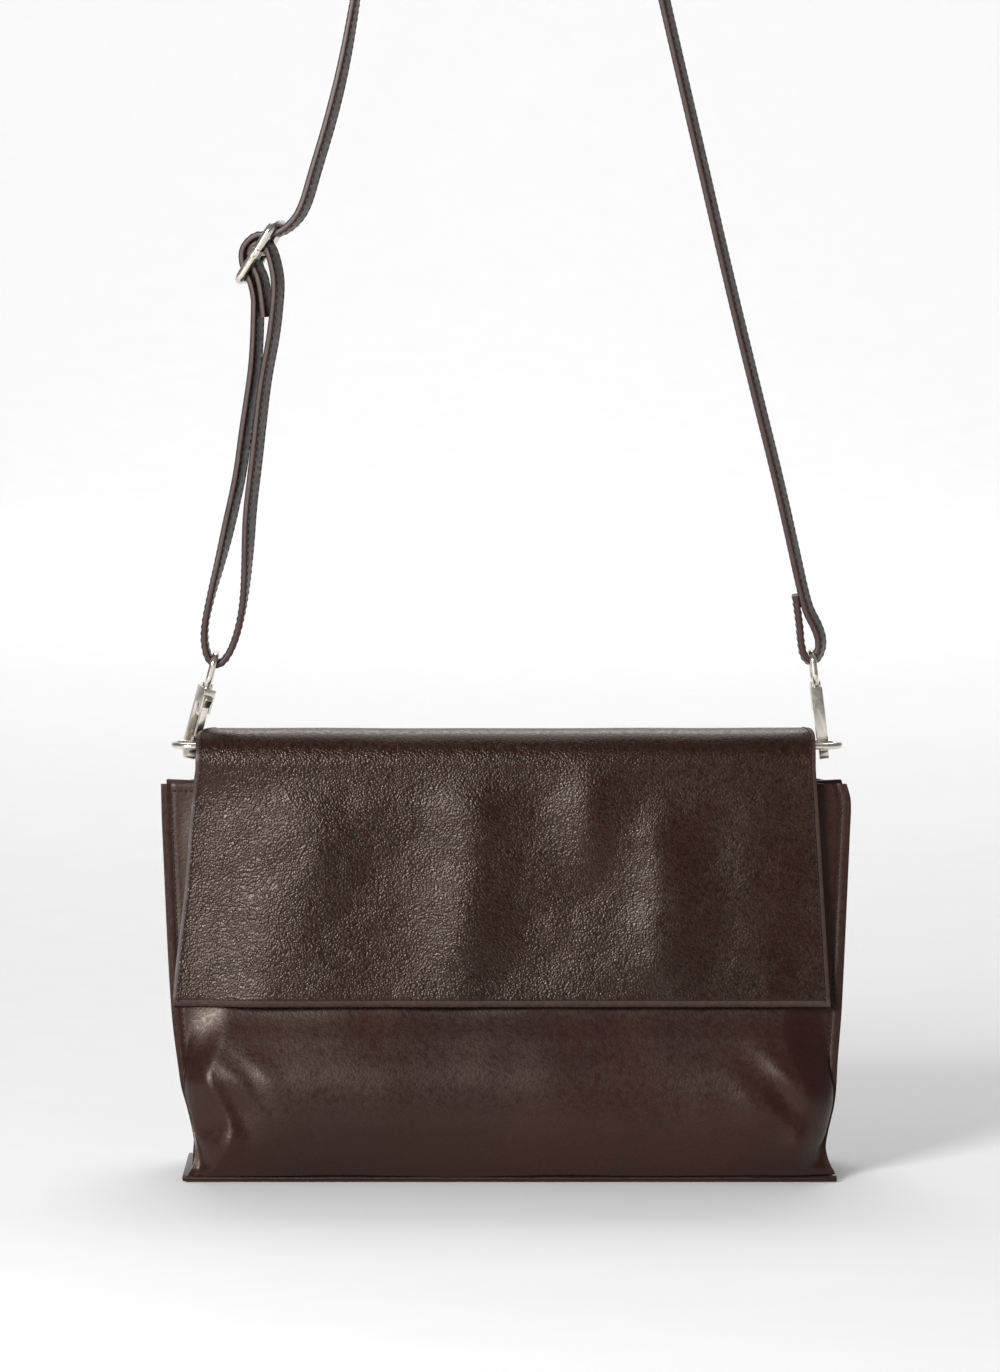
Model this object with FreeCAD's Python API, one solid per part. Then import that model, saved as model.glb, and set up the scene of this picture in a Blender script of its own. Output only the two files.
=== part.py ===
"""Crossbody purse: a soft leather pouch with a fold-over flap, hung on a long adjustable strap.

Units are millimetres. +Z is up, the front faces -Y, and the origin is on the floor, under the middle of
the base.
"""

import FreeCAD, Part
import math
import os

V = FreeCAD.Vector
X_AXIS = V(1, 0, 0)
Y_AXIS = V(0, 1, 0)
Z_AXIS = V(0, 0, 1)

# pouch
BASE_W = 280.0
BASE_D = 70.0
WING_W = 300.0
FRONT_H = 170.0
LEATHER = 2.0
PANEL_FOOT_Z = 3.0
FRONT_TOP_Y = -10.0
PIPING_R = 1.3
PIPING_L = 284.0
PIPING_OUT = 0.9
BASE_LAP = 0.7
BOARD = 2.0
BOARD_INSET = 6.0
LINING = 0.8
LINING_GAP = 0.2
LINING_LOW = 6.0
BACK_LINING_DROP = 4.0
LINING_INSET = 14.0
MOUTH_INSET = 26.0
HEM_H = 20.0
HEM_T = 1.2

# gussets: the leather's ridge points inwards, and its two edges meet the front and back seams
GUSSET_T = 1.6
RIDGE_HALF = 5.3
RIDGE_LOW_X = 138.0
RIDGE_TOP_X = 128.0
SEAM_LOW_X = 139.0
SEAM_LOW_Y = 32.4
SEAM_LOW_T = 1.4
SEAM_TOP_X = 148.0
SEAM_TOP_FRONT_Y = -7.6
SEAM_TOP_BACK_Y = 12.4
GUSSET_LINING_LOW = (135.8, 29.5, 6.5)
GUSSET_LINING_TOP = (127.2, 6.0, 146.0)

# fold over the top, and the flap
FOLD_Z = 177.0
FOLD_R = 14.0
FOLD_HALF_L = 123.0
RUN_GAP = 0.3
FLAP_T = 1.8
FLAP_LEFT_TOP = -130.6
FLAP_RIGHT_TOP = 132.6
FLAP_LEFT_LOW = -144.0
FLAP_RIGHT_LOW = 139.0
FLAP_LOW_Z = 75.0
FLAP_LOW_Y = -27.5
FLAP_WRAP_DEG = 55.0
ROLL_R = 11.6
ROLL_T = 1.8
ROLL_BACK_DEG = 8.0
ROLL_FRONT_DEG = 125.0
FLAP_HEM = 3.0
LINING_DROP = 4.0

# magnetic snap
SNAP_R = 7.0
SNAP_T = 1.1
SNAP_Z = 95.0
SNAP_FILLET = 0.3
SOCKET_R = 2.6
STUD_R = 2.2
SKIN_GAP = 0.05

# D-rings and their tabs
RING_Z = 186.0
RING_BAR_X = 128.0
RING_LEG_Y = 7.65
RING_WIRE_R = 1.4
RING_END_X = 144.0
RING_CORNER = 2.2
TAB_HALF_W = 4.6
TAB_BORE_R = 1.6
TAB_T = 1.5
TAB_FOOT_Z = 148.0

# swivel hooks: u runs across the hook, w runs up its own axis from the ring's wire
HOOK_X_LEFT = -136.6
HOOK_X_RIGHT = 137.0
HOOK_LEAN_LEFT = 15.0
HOOK_LEAN_RIGHT = -7.0
HOOK_TURN_LEFT = 15.0
HOOK_T = 5.0
NOSE_T = 4.0
SLOT_R = 3.7
HOOK_R = 7.0
NOSE_TIP_W = 3.4
SLOT_TOP_W = 18.0
HOOK_TOP_W = 25.0
HOOK_HEAD_W = 14.5
HOOK_HEAD_PAST = 1.8
GATE_ROOM_W = 21.6
GATE_ROOM_SIDE = 0.2
GATE_ROOM_U = 2.3
NOSE_CUT_U = 2.7
NOSE_CUT_W = 14.4
GATE_T = 2.8
GATE_U = 5.4
GATE_HALF = 1.4
GATE_TIP_W = 3.8
PIVOT_W = 17.0
LEVER_OUTLINE = [(0.0, 1.2), (1.2, -0.4), (4.6, 3.4), (4.0, 5.2)]
SPRING_R = 0.9
SPRING_W = 13.0
SPRING_GAP = 0.1
PIN_R = 0.8
PIN_BORE_R = 0.9
POST_R = 1.3
POST_BORE_R = 1.5
POST_HEAD_R = 2.3
POST_HEAD_T = 1.3
POST_SINK = 1.6
COLLAR_R = 2.4
EYE_WIRE_R = 1.4
EYE_LOW_W = 27.0
EYE_TOP_W = 39.9
EYE_HALF_W = 9.6
EYE_CORNER = 4.0

# strap
STRAP_W = 15.0
STRAP_T = 2.6
STRAP_Y = RING_LEG_Y

# slider on the strap
SLIDER_TOP = V(-98.7, STRAP_Y, 411.0)
SLIDER_LOW = V(-114.1, STRAP_Y, 387.0)
SLIDER_WIRE_R = 1.5
SLIDER_HALF_W = 9.6
SLIDER_CORNER = 4.0
BAR_R = 1.4
CUFF_T = 1.1
CUFF_L = 3.4
BAR_GAP = 0.7

# inside pocket with its zip
POCKET_W = 170.0
POCKET_H = 100.0
POCKET_T = 1.4
POCKET_TOP = 150.0
TAPE_W = 160.0
TAPE_H = 24.0
TAPE_T = 0.6
TOOTH_STEP = 2.5
TOOTH_W = 1.3
TOOTH_H = 3.0
TOOTH_T = 1.4
TEETH_HALF_L = 72.0
TOOTH_GAP = 0.1
TAPE_DROP = 15.0
ZIP_X = -64.0
ZIP_CAR = 9.0
ZIP_CAR_HALF_H = 4.6
ZIP_WALL = 1.2
ZIP_LOOP_R = 2.0
ZIP_LOOP_L = 3.0
ZIP_LOOP_BORE_R = 1.0
PULLER_L = 22.0
PULLER_HALF_W = 3.5
PULLER_HALF_T = 0.7
PULLER_ARM_W = 1.2
PULLER_ARM_L = 5.0

# the strap's middle line, as X and Z of points from the slider's upper side, over the
# shoulder and down to the right-hand eye
UPPER_ROUTE = [(-86.6, 418.5), (-82.3, 434), (-75.8, 455), (-70.2, 478)]
SHOULDER_ROUTE = [
    (-70.1, 478.4), (-65.4, 506), (-58.0, 556), (-48.0, 622), (-36.0, 686), (-20.0, 728), (2.0, 742),
    (22.0, 722), (33.0, 672), (47.0, 600), (61.0, 536), (83.3, 441), (96.1, 386), (108.2, 337),
    (118.8, 295), (127.6, 255), (130.4, 244), (134.6, 236.5), (136.6, 229.6), (134.9, 223.4),
    (131.6, 221.2), (128.5, 224.2), (127.3, 231.4), (126.9, 238), (125.0, 250.5),
]
# the wrap over the slider, which travels with it
WRAP_ROUTE = [
    (-87.0, 417.6), (-92.2, 410.6), (-99.6, 406.2), (-107.2, 407.0), (-113.6, 400.8), (-112.8, 392),
    (-108.6, 385.5), (-107.7, 378),
]
# the left-hand run down from the slider and up again, round the left-hand eye
LOOP_ROUTE = [
    (-107.7, 377.6), (-108.0, 361.5), (-109.3, 346), (-113.0, 323), (-115.6, 303), (-119.2, 287),
    (-123.8, 267), (-128.6, 249), (-131.6, 235), (-130.4, 224.0), (-126.2, 219.7), (-121.6, 222.6),
    (-117.3, 232), (-114.0, 247), (-112.3, 267), (-111.2, 288), (-109.0, 305), (-107.0, 323),
    (-104.6, 344), (-100.8, 362), (-99.0, 377.6),
]
# the end of the strap, turned back round the slider's bar
TURN_BACK_ROUTE = [
    (-99.0, 378), (-98.6, 387), (-100.6, 396.5), (-103.0, 402.3), (-106.9, 403.4), (-110.2, 399.4),
    (-108.5, 393.2), (-104.8, 386), (-103.5, 371),
]


def export(name, shape):
    """Writes one node's solid or solids."""
    shape.exportStep(os.path.join("parts", name + ".step"))
    print(name, len(shape.Solids), round(shape.Volume, 1), shape.isValid())


def polygon_face(points):
    """A flat face with the given corners."""
    return Part.Face(Part.makePolygon(points + [points[0]]))


def plate(corners, thickness, start=0.0):
    """A plate from (x, z) corners, standing in the XZ plane, that reaches from y = start."""
    return polygon_face([V(x, start, z) for x, z in corners]).extrude(V(0, thickness, 0))


def box(x, y, z):
    """A box from its (low, high) pairs."""
    return Part.makeBox(x[1] - x[0], y[1] - y[0], z[1] - z[0], V(x[0], y[0], z[0]))


def lean(shape, foot_y, foot_z, degrees):
    """Leans an upright shape about X at its foot, and moves it there."""
    out = shape.copy()
    out.rotate(V(0, 0, 0), X_AXIS, degrees)
    out.translate(V(0, foot_y, foot_z))
    return out


FRONT_RISE = FRONT_H - PANEL_FOOT_Z
FRONT_RUN = FRONT_TOP_Y + BASE_D / 2
FRONT_LEAN = -math.degrees(math.atan2(FRONT_RUN, FRONT_RISE))
FRONT_L = math.hypot(FRONT_RISE, FRONT_RUN)
BACK_RISE = FOLD_Z - PANEL_FOOT_Z
BACK_RUN = BASE_D / 2 - FOLD_R
BACK_LEAN = math.degrees(math.atan2(BACK_RUN, BACK_RISE))
BACK_L = math.hypot(BACK_RISE, BACK_RUN)
FLAP_RISE = FOLD_Z - FLAP_LOW_Z
FLAP_IN_R = FOLD_R + RUN_GAP
FLAP_LEAN = -math.degrees(math.atan2(-FLAP_IN_R - FLAP_LOW_Y, FLAP_RISE))
FLAP_L = math.hypot(FLAP_RISE, -FLAP_IN_R - FLAP_LOW_Y)


def on_front(shape):
    """Places a shape drawn upright, with y = 0 on the leather's outside, on the front panel."""
    return lean(shape, -BASE_D / 2, PANEL_FOOT_Z, FRONT_LEAN)


def on_back(shape):
    """Places a shape drawn upright, with y = 0 on the leather's outside, on the back panel."""
    return lean(shape, BASE_D / 2, PANEL_FOOT_Z, BACK_LEAN)


def on_flap(shape):
    """Places a shape drawn upright, with y = 0 on the leather's inside, on the flap."""
    return lean(shape, FLAP_LOW_Y, FLAP_LOW_Z, FLAP_LEAN)


def panel_corners(height, full_height, inset=0.0, low=0.0):
    """Corners of a panel that widens from the base to the wings, cut at a height."""
    grow = (WING_W - BASE_W) / 2 / full_height
    half_low = BASE_W / 2 + grow * low - inset
    half_top = BASE_W / 2 + grow * min(height, full_height) - inset
    return [(-half_low, low), (half_low, low), (half_top, height), (-half_top, height)]


def front_panel():
    """The pouch's front leather."""
    return on_front(plate(panel_corners(FRONT_L, FRONT_L), LEATHER))


def back_panel():
    """The pouch's back leather, which narrows above the wings to the width of the fold."""
    shoulder = FRONT_L
    corners = panel_corners(shoulder, FRONT_L)
    corners = corners[:3] + [(FOLD_HALF_L, BACK_L), (-FOLD_HALF_L, BACK_L)] + corners[3:]
    return on_back(plate(corners, -LEATHER))


def fold_roll():
    """The leather where it rolls over the top, as a part of a tube; it follows the flap by half."""
    start = math.radians(ROLL_BACK_DEG)
    end = math.radians(ROLL_FRONT_DEG)
    middle = (start + end) / 2
    edges = []
    ends = []
    for radius in (ROLL_R, ROLL_R - ROLL_T):
        a, m, b = [
            V(-FOLD_HALF_L, radius * math.cos(t), FOLD_Z + radius * math.sin(t))
            for t in (start, middle, end)
        ]
        edges.append(Part.Arc(a, m, b).toShape())
        ends.append((a, b))
    edges.append(Part.LineSegment(ends[0][0], ends[1][0]).toShape())
    edges.append(Part.LineSegment(ends[0][1], ends[1][1]).toShape())
    outline = Part.Wire(Part.__sortEdges__(edges))
    return Part.Face(outline).extrude(V(2 * FOLD_HALF_L, 0, 0))


def base_panel():
    """The leather under the pouch."""
    half_d = BASE_D / 2 - 2 * PIPING_R + BASE_LAP
    return box((-BASE_W / 2, BASE_W / 2), (-half_d, half_d), (0, 2 * PIPING_R))


def piping(side):
    """The turned edge along one long side of the base."""
    y = side * (BASE_D / 2 - PIPING_R + PIPING_OUT)
    return Part.makeCylinder(PIPING_R, PIPING_L, V(-PIPING_L / 2, y, PIPING_R), X_AXIS)


def base_board():
    """The stiff board that lies on the base leather."""
    half_w = BASE_W / 2 - BOARD_INSET
    half_d = BASE_D / 2 - BOARD_INSET
    z = 2 * PIPING_R + LINING_GAP
    return box((-half_w, half_w), (-half_d, half_d), (z, z + BOARD))


def base_lining():
    """The cloth over the board."""
    half_w = BASE_W / 2 - BOARD_INSET
    half_d = BASE_D / 2 - BOARD_INSET
    z = 2 * PIPING_R + 2 * LINING_GAP + BOARD
    return box((-half_w, half_w), (-half_d, half_d), (z, z + LINING))


def front_lining():
    """The cloth inside the front panel, up to the hem."""
    corners = panel_corners(FRONT_L - HEM_H - 1, FRONT_L, inset=LINING_INSET, low=LINING_LOW)
    return on_front(plate(corners, LINING, LEATHER + 2 * LINING_GAP + GUSSET_T))


def front_hem():
    """The leather band inside the front panel's mouth."""
    corners = panel_corners(FRONT_L - 1, FRONT_L, inset=MOUTH_INSET, low=FRONT_L - HEM_H)
    return on_front(plate(corners, HEM_T, LEATHER + LINING_GAP))


def back_lining():
    """The cloth inside the back panel, in front of the pocket."""
    corners = panel_corners(FRONT_L - BACK_LINING_DROP, FRONT_L, inset=MOUTH_INSET, low=LINING_LOW)
    return on_back(plate(corners, -LINING, -LEATHER - 2 * LINING_GAP - POCKET_T))


def pocket_bag():
    """The flat cloth pocket between the back leather and its lining."""
    corners = [
        (-POCKET_W / 2, POCKET_TOP - POCKET_H), (POCKET_W / 2, POCKET_TOP - POCKET_H),
        (POCKET_W / 2, POCKET_TOP), (-POCKET_W / 2, POCKET_TOP),
    ]
    return on_back(plate(corners, -POCKET_T, -LEATHER - LINING_GAP))


TAPE_Y = -LEATHER - 3 * LINING_GAP - POCKET_T - LINING
TAPE_MID = POCKET_TOP - TAPE_DROP


def zip_tape():
    """The woven tape that holds the zip's teeth."""
    half_w = TAPE_W / 2
    low = TAPE_MID - TAPE_H / 2
    high = TAPE_MID + TAPE_H / 2
    return on_back(plate([(-half_w, low), (half_w, low), (half_w, high), (-half_w, high)], -TAPE_T, TAPE_Y))


def zip_teeth():
    """Two rows of teeth, set half a step apart."""
    count = int(2 * TEETH_HALF_L / TOOTH_STEP)
    depth = (TAPE_Y - TAPE_T - TOOTH_T, TAPE_Y - TAPE_T)
    upper = (TAPE_MID + TOOTH_GAP, TAPE_MID + TOOTH_H)
    lower = (TAPE_MID - TOOTH_H, TAPE_MID - TOOTH_GAP)
    teeth = []
    for i in range(count):
        x = -TEETH_HALF_L + i * TOOTH_STEP
        teeth.append(box((x, x + TOOTH_W), depth, upper))
        x += TOOTH_STEP / 2
        teeth.append(box((x, x + TOOTH_W), depth, lower))
    return on_back(Part.makeCompound(teeth))


ZIP_FRONT = TAPE_Y - TAPE_T - TOOTH_T - RUN_GAP - ZIP_WALL
PULLER_Y = ZIP_FRONT - 1.4


def zip_slider():
    """The zip's slider: a channel that straddles the teeth, with a loop for the puller."""
    x = (ZIP_X - ZIP_CAR / 2, ZIP_X + ZIP_CAR / 2)
    back = TAPE_Y - TAPE_T - RUN_GAP
    car = box(x, (ZIP_FRONT, back), (TAPE_MID - ZIP_CAR_HALF_H, TAPE_MID + ZIP_CAR_HALF_H))
    inside = TOOTH_H + RUN_GAP
    channel = box(x, (ZIP_FRONT + ZIP_WALL, back + 1), (TAPE_MID - inside, TAPE_MID + inside))
    loop_x = ZIP_X - ZIP_LOOP_L / 2
    loop = Part.makeCylinder(ZIP_LOOP_R, ZIP_LOOP_L, V(loop_x, ZIP_FRONT - ZIP_WALL, TAPE_MID), X_AXIS)
    eye = Part.makeCylinder(ZIP_LOOP_BORE_R, ZIP_LOOP_L, V(loop_x, PULLER_Y, TAPE_MID), X_AXIS)
    return on_back(car.cut(channel).fuse(loop.cut(car)).cut(eye).removeSplitter())


def zip_puller():
    """The zip's puller: a bar through the slider's loop, two arms and a tongue that hangs down."""
    low_x = ZIP_X - PULLER_HALF_W
    high_x = ZIP_X + PULLER_HALF_W
    depth = (PULLER_Y - PULLER_HALF_T, PULLER_Y + PULLER_HALF_T)
    arm_z = (TAPE_MID - PULLER_ARM_L, TAPE_MID + PULLER_HALF_T)
    bar = Part.makeCylinder(PULLER_HALF_T, 2 * PULLER_HALF_W, V(low_x, PULLER_Y, TAPE_MID), X_AXIS)
    arms = [
        box((low_x, low_x + PULLER_ARM_W), depth, arm_z),
        box((high_x - PULLER_ARM_W, high_x), depth, arm_z),
    ]
    tongue = box((low_x, high_x), depth, (TAPE_MID - PULLER_L, TAPE_MID - PULLER_ARM_L))
    return on_back(bar.fuse(arms + [tongue]).removeSplitter())


def gusset(side):
    """One folded side of the pouch: flat at the base, folded inwards at the top."""
    inner_half = RIDGE_HALF + GUSSET_T
    low = [
        (SEAM_LOW_X, -SEAM_LOW_Y),
        (RIDGE_LOW_X - GUSSET_T, -inner_half),
        (RIDGE_LOW_X - GUSSET_T, inner_half),
        (SEAM_LOW_X, SEAM_LOW_Y),
        (SEAM_LOW_X + SEAM_LOW_T, SEAM_LOW_Y),
        (RIDGE_LOW_X, RIDGE_HALF),
        (RIDGE_LOW_X, -RIDGE_HALF),
        (SEAM_LOW_X + SEAM_LOW_T, -SEAM_LOW_Y),
    ]
    top = [
        (SEAM_TOP_X, SEAM_TOP_FRONT_Y),
        (RIDGE_TOP_X - GUSSET_T, -inner_half),
        (RIDGE_TOP_X - GUSSET_T, inner_half),
        (SEAM_TOP_X, SEAM_TOP_BACK_Y),
        (SEAM_TOP_X, SEAM_TOP_BACK_Y - GUSSET_T),
        (RIDGE_TOP_X, RIDGE_HALF),
        (RIDGE_TOP_X, -RIDGE_HALF),
        (SEAM_TOP_X, SEAM_TOP_FRONT_Y + GUSSET_T),
    ]
    wires = []
    for outline, z in ((low, PANEL_FOOT_Z), (top, FRONT_H)):
        points = [V(side * x, y, z) for x, y in outline]
        wires.append(Part.makePolygon(points + [points[0]]))
    return Part.makeLoft(wires, True, True)


def gusset_lining(side):
    """The cloth inside one gusset."""
    wires = []
    for x, half, z in (GUSSET_LINING_LOW, GUSSET_LINING_TOP):
        points = [V(side * x, -half, z), V(side * x, half, z)]
        points += [V(side * (x - LINING), half, z), V(side * (x - LINING), -half, z)]
        wires.append(Part.makePolygon(points + [points[0]]))
    return Part.makeLoft(wires, True, True)


def flap_corners(low, high, inset):
    """Corners of the flap between two heights up its length."""
    left = (FLAP_LEFT_TOP - FLAP_LEFT_LOW) / FLAP_L
    right = (FLAP_RIGHT_TOP - FLAP_RIGHT_LOW) / FLAP_L
    return [
        (FLAP_LEFT_LOW + left * low + inset, low), (FLAP_RIGHT_LOW + right * low - inset, low),
        (FLAP_RIGHT_LOW + right * high - inset, high), (FLAP_LEFT_LOW + left * high + inset, high),
    ]


def flap_leather():
    """The flap: a flat sheet and the stretch that slides over the fold as it opens."""
    sheet = on_flap(plate(flap_corners(0.0, FLAP_L, 0.0), -FLAP_T))
    length = FLAP_RIGHT_TOP - FLAP_LEFT_TOP
    outer = Part.makeCylinder(FLAP_IN_R + FLAP_T, length, V(FLAP_LEFT_TOP, 0, FOLD_Z), X_AXIS)
    inner = Part.makeCylinder(FLAP_IN_R, length, V(FLAP_LEFT_TOP, 0, FOLD_Z), X_AXIS)
    reach = 3 * FLAP_IN_R
    turn = math.radians(FLAP_WRAP_DEG)
    wedge = polygon_face([
        V(FLAP_LEFT_TOP, 0, FOLD_Z),
        V(FLAP_LEFT_TOP, -reach, FOLD_Z),
        V(FLAP_LEFT_TOP, -reach, FOLD_Z + reach),
        V(FLAP_LEFT_TOP, -reach * math.cos(turn), FOLD_Z + reach * math.sin(turn)),
    ]).extrude(V(length, 0, 0))
    return sheet.fuse(outer.cut(inner).common(wedge)).removeSplitter()


def flap_lining():
    """The thin leather under the flap."""
    return on_flap(plate(flap_corners(FLAP_HEM, FLAP_L - LINING_DROP, FLAP_HEM), LINING, SKIN_GAP))


def snap_disc(y, height, hole_r):
    """Half a snap: a disc along Y with a round hole at its middle."""
    disc = Part.makeCylinder(SNAP_R, SNAP_T, V(0, y, height), Y_AXIS)
    disc = disc.makeFillet(SNAP_FILLET, [e for e in disc.Edges if e.Curve.TypeId == "Part::GeomCircle"])
    return disc.cut(Part.makeCylinder(hole_r, SNAP_T, V(0, y, height), Y_AXIS))


def flap_snap():
    """The snap's half under the flap."""
    height = (SNAP_Z - FLAP_LOW_Z) / math.cos(math.radians(FLAP_LEAN))
    return on_flap(snap_disc(LINING + SKIN_GAP, height, SOCKET_R))


def front_snap():
    """The snap's half on the front panel."""
    height = (SNAP_Z - PANEL_FOOT_Z) / math.cos(math.radians(FRONT_LEAN))
    return on_front(snap_disc(-SNAP_T, height, STUD_R))


def sweep(wire, radius, start, along):
    """A round wire along a path."""
    circle = Part.Wire(Part.makeCircle(radius, start, along))
    return wire.makePipeShell([circle], True, True)


def rounded_loop(half, low, high, corner):
    """A rounded rectangle in the YZ plane, from the middle of its lower side."""
    k = corner * (1 - math.sqrt(0.5))
    right = [
        V(0, half - corner, low), V(0, half - k, low + k), V(0, half, low + corner),
        V(0, half, high - corner), V(0, half - k, high - k), V(0, half - corner, high),
    ]
    left = [V(0, -point.y, point.z) for point in reversed(right)]
    p = [V(0, 0, low)] + right + left
    edges = []
    for i in (0, 3, 6, 9):
        edges.append(Part.LineSegment(p[i], p[i + 1]).toShape())
        edges.append(Part.Arc(p[i + 1], p[i + 2], p[i + 3]).toShape())
    edges.append(Part.LineSegment(p[12], p[0]).toShape())
    return Part.Wire(edges)


def ring(side):
    """A D-ring that lies flat: a straight bar in the tab, two legs and a round outer end."""
    bar_x = side * RING_BAR_X
    bend_x = side * (RING_END_X - RING_LEG_Y)
    corner = RING_CORNER
    y = RING_LEG_Y
    k = corner * (1 - math.sqrt(0.5))
    a = V(bar_x, 0, RING_Z)
    edges = [
        Part.LineSegment(a, V(bar_x, y - corner, RING_Z)).toShape(),
        Part.Arc(V(bar_x, y - corner, RING_Z), V(bar_x + side * k, y - k, RING_Z),
                 V(bar_x + side * corner, y, RING_Z)).toShape(),
        Part.LineSegment(V(bar_x + side * corner, y, RING_Z), V(bend_x, y, RING_Z)).toShape(),
        Part.Arc(V(bend_x, y, RING_Z), V(side * RING_END_X, 0, RING_Z), V(bend_x, -y, RING_Z)).toShape(),
        Part.LineSegment(V(bend_x, -y, RING_Z), V(bar_x + side * corner, -y, RING_Z)).toShape(),
        Part.Arc(V(bar_x + side * corner, -y, RING_Z), V(bar_x + side * k, -y + k, RING_Z),
                 V(bar_x, -y + corner, RING_Z)).toShape(),
        Part.LineSegment(V(bar_x, -y + corner, RING_Z), a).toShape(),
    ]
    return sweep(Part.Wire(edges), RING_WIRE_R, a, Y_AXIS)


def ring_tab(side):
    """The leather tab that wraps a D-ring's bar and runs down inside the gusset."""
    half = TAB_HALF_W
    outer_r = TAB_BORE_R + TAB_T
    x = side * RING_BAR_X
    loop = Part.makeCylinder(outer_r, 2 * half, V(x, -half, RING_Z), Y_AXIS)
    inner_x = side * (RING_BAR_X - outer_r)
    outer_x = side * (RING_BAR_X - TAB_BORE_R)
    tail = box((min(inner_x, outer_x), max(inner_x, outer_x)), (-half, half), (TAB_FOOT_Z, RING_Z))
    bore = Part.makeCylinder(TAB_BORE_R, 2 * half + 2, V(x, -half - 1, RING_Z), Y_AXIS)
    return loop.fuse(tail).cut(bore).removeSplitter()


def across(u, w):
    """The point at u across and w up a hook, before it is leant and turned."""
    return V(0, u, w)


def cross_pin(radius, length, u, w):
    """A cylinder through a hook, from side to side."""
    return Part.makeCylinder(radius, length, V(-length / 2, u, w), X_AXIS)


def hook_body():
    """A hook with its spine at -u: a round nose, a flat spine, and a head that takes the post."""
    nose = cross_pin(HOOK_R, NOSE_T, 0, 0)
    tip = box((-NOSE_T / 2, NOSE_T / 2), (0, HOOK_R), (0, NOSE_TIP_W))
    spine = box((-HOOK_T / 2, HOOK_T / 2), (-HOOK_R, -SLOT_R), (0, HOOK_TOP_W))
    head = box((-HOOK_T / 2, HOOK_T / 2), (-HOOK_R, GATE_U + HOOK_HEAD_PAST), (HOOK_HEAD_W, HOOK_TOP_W))
    body = nose.fuse([tip, spine, head])
    slot = cross_pin(SLOT_R, HOOK_T + 2, 0, 0)
    slot = slot.fuse(box((-HOOK_T, HOOK_T), (-SLOT_R, SLOT_R), (0, SLOT_TOP_W)))
    room_half = GATE_T / 2 + GATE_ROOM_SIDE
    outside_u = 2 * HOOK_R
    gate_room = box((-room_half, room_half), (GATE_ROOM_U, outside_u), (NOSE_TIP_W, GATE_ROOM_W))
    over_tip = box((-HOOK_T, HOOK_T), (NOSE_CUT_U, outside_u), (NOSE_TIP_W, NOSE_CUT_W))
    bore = Part.makeCylinder(POST_BORE_R, HOOK_TOP_W, across(0, HOOK_HEAD_W), Z_AXIS)
    body = body.cut(slot).cut(gate_room).cut(over_tip).cut(bore)
    body = body.cut(cross_pin(PIN_BORE_R, HOOK_T + 2, GATE_U, PIVOT_W)).removeSplitter()
    return body


def gate():
    """The sprung gate with its thumb lever."""
    half = GATE_T / 2
    bar = box((-half, half), (GATE_U - GATE_HALF, GATE_U + GATE_HALF), (GATE_TIP_W, PIVOT_W))
    knuckle = cross_pin(GATE_HALF, GATE_T, GATE_U, PIVOT_W)
    corners = [across(GATE_U + u, PIVOT_W + w) for u, w in LEVER_OUTLINE]
    lever = polygon_face(corners).extrude(V(GATE_T, 0, 0))
    lever.translate(V(-half, 0, 0))
    bore = cross_pin(PIN_BORE_R, HOOK_T, GATE_U, PIVOT_W)
    return bar.fuse([knuckle, lever]).cut(bore).removeSplitter()


def gate_pin():
    """The pin that the gate turns on."""
    return cross_pin(PIN_R, HOOK_T, GATE_U, PIVOT_W)


def gate_spring():
    """The small coil that pushes the gate shut, as one closed solid of its outer shape."""
    length = GATE_U - GATE_HALF + SLOT_R - 2 * SPRING_GAP
    return Part.makeCylinder(SPRING_R, length, across(SPRING_GAP - SLOT_R, SPRING_W), Y_AXIS)


def eye():
    """The swivel eye: a post with a riveted head, and a wire loop for the strap."""
    outline = rounded_loop(EYE_HALF_W, EYE_LOW_W, EYE_TOP_W, EYE_CORNER)
    loop = sweep(outline, EYE_WIRE_R, across(0, EYE_LOW_W), Y_AXIS)
    collar_l = EYE_LOW_W - HOOK_TOP_W - RUN_GAP
    collar = Part.makeCylinder(COLLAR_R, collar_l, across(0, HOOK_TOP_W + RUN_GAP), Z_AXIS)
    foot = across(0, SLOT_TOP_W - POST_SINK)
    post = Part.makeCylinder(POST_R, EYE_LOW_W - SLOT_TOP_W + POST_SINK, foot, Z_AXIS)
    head = Part.makeCylinder(POST_HEAD_R, POST_HEAD_T, foot, Z_AXIS)
    return loop.fuse([collar, post, head]).removeSplitter()


def hang(shape, side, turned=True):
    """Takes a piece of a hook to its place on one ring; the left hook has its gate in front."""
    out = shape.copy()
    if side < 0:
        out.rotate(V(0, 0, 0), Z_AXIS, 180)
        if turned:
            out.rotate(V(0, 0, 0), Z_AXIS, HOOK_TURN_LEFT)
    lean_deg = HOOK_LEAN_LEFT if side < 0 else HOOK_LEAN_RIGHT
    out.rotate(V(0, 0, 0), Y_AXIS, lean_deg)
    out.translate(V(HOOK_X_LEFT if side < 0 else HOOK_X_RIGHT, RING_LEG_Y, RING_Z))
    return out


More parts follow.
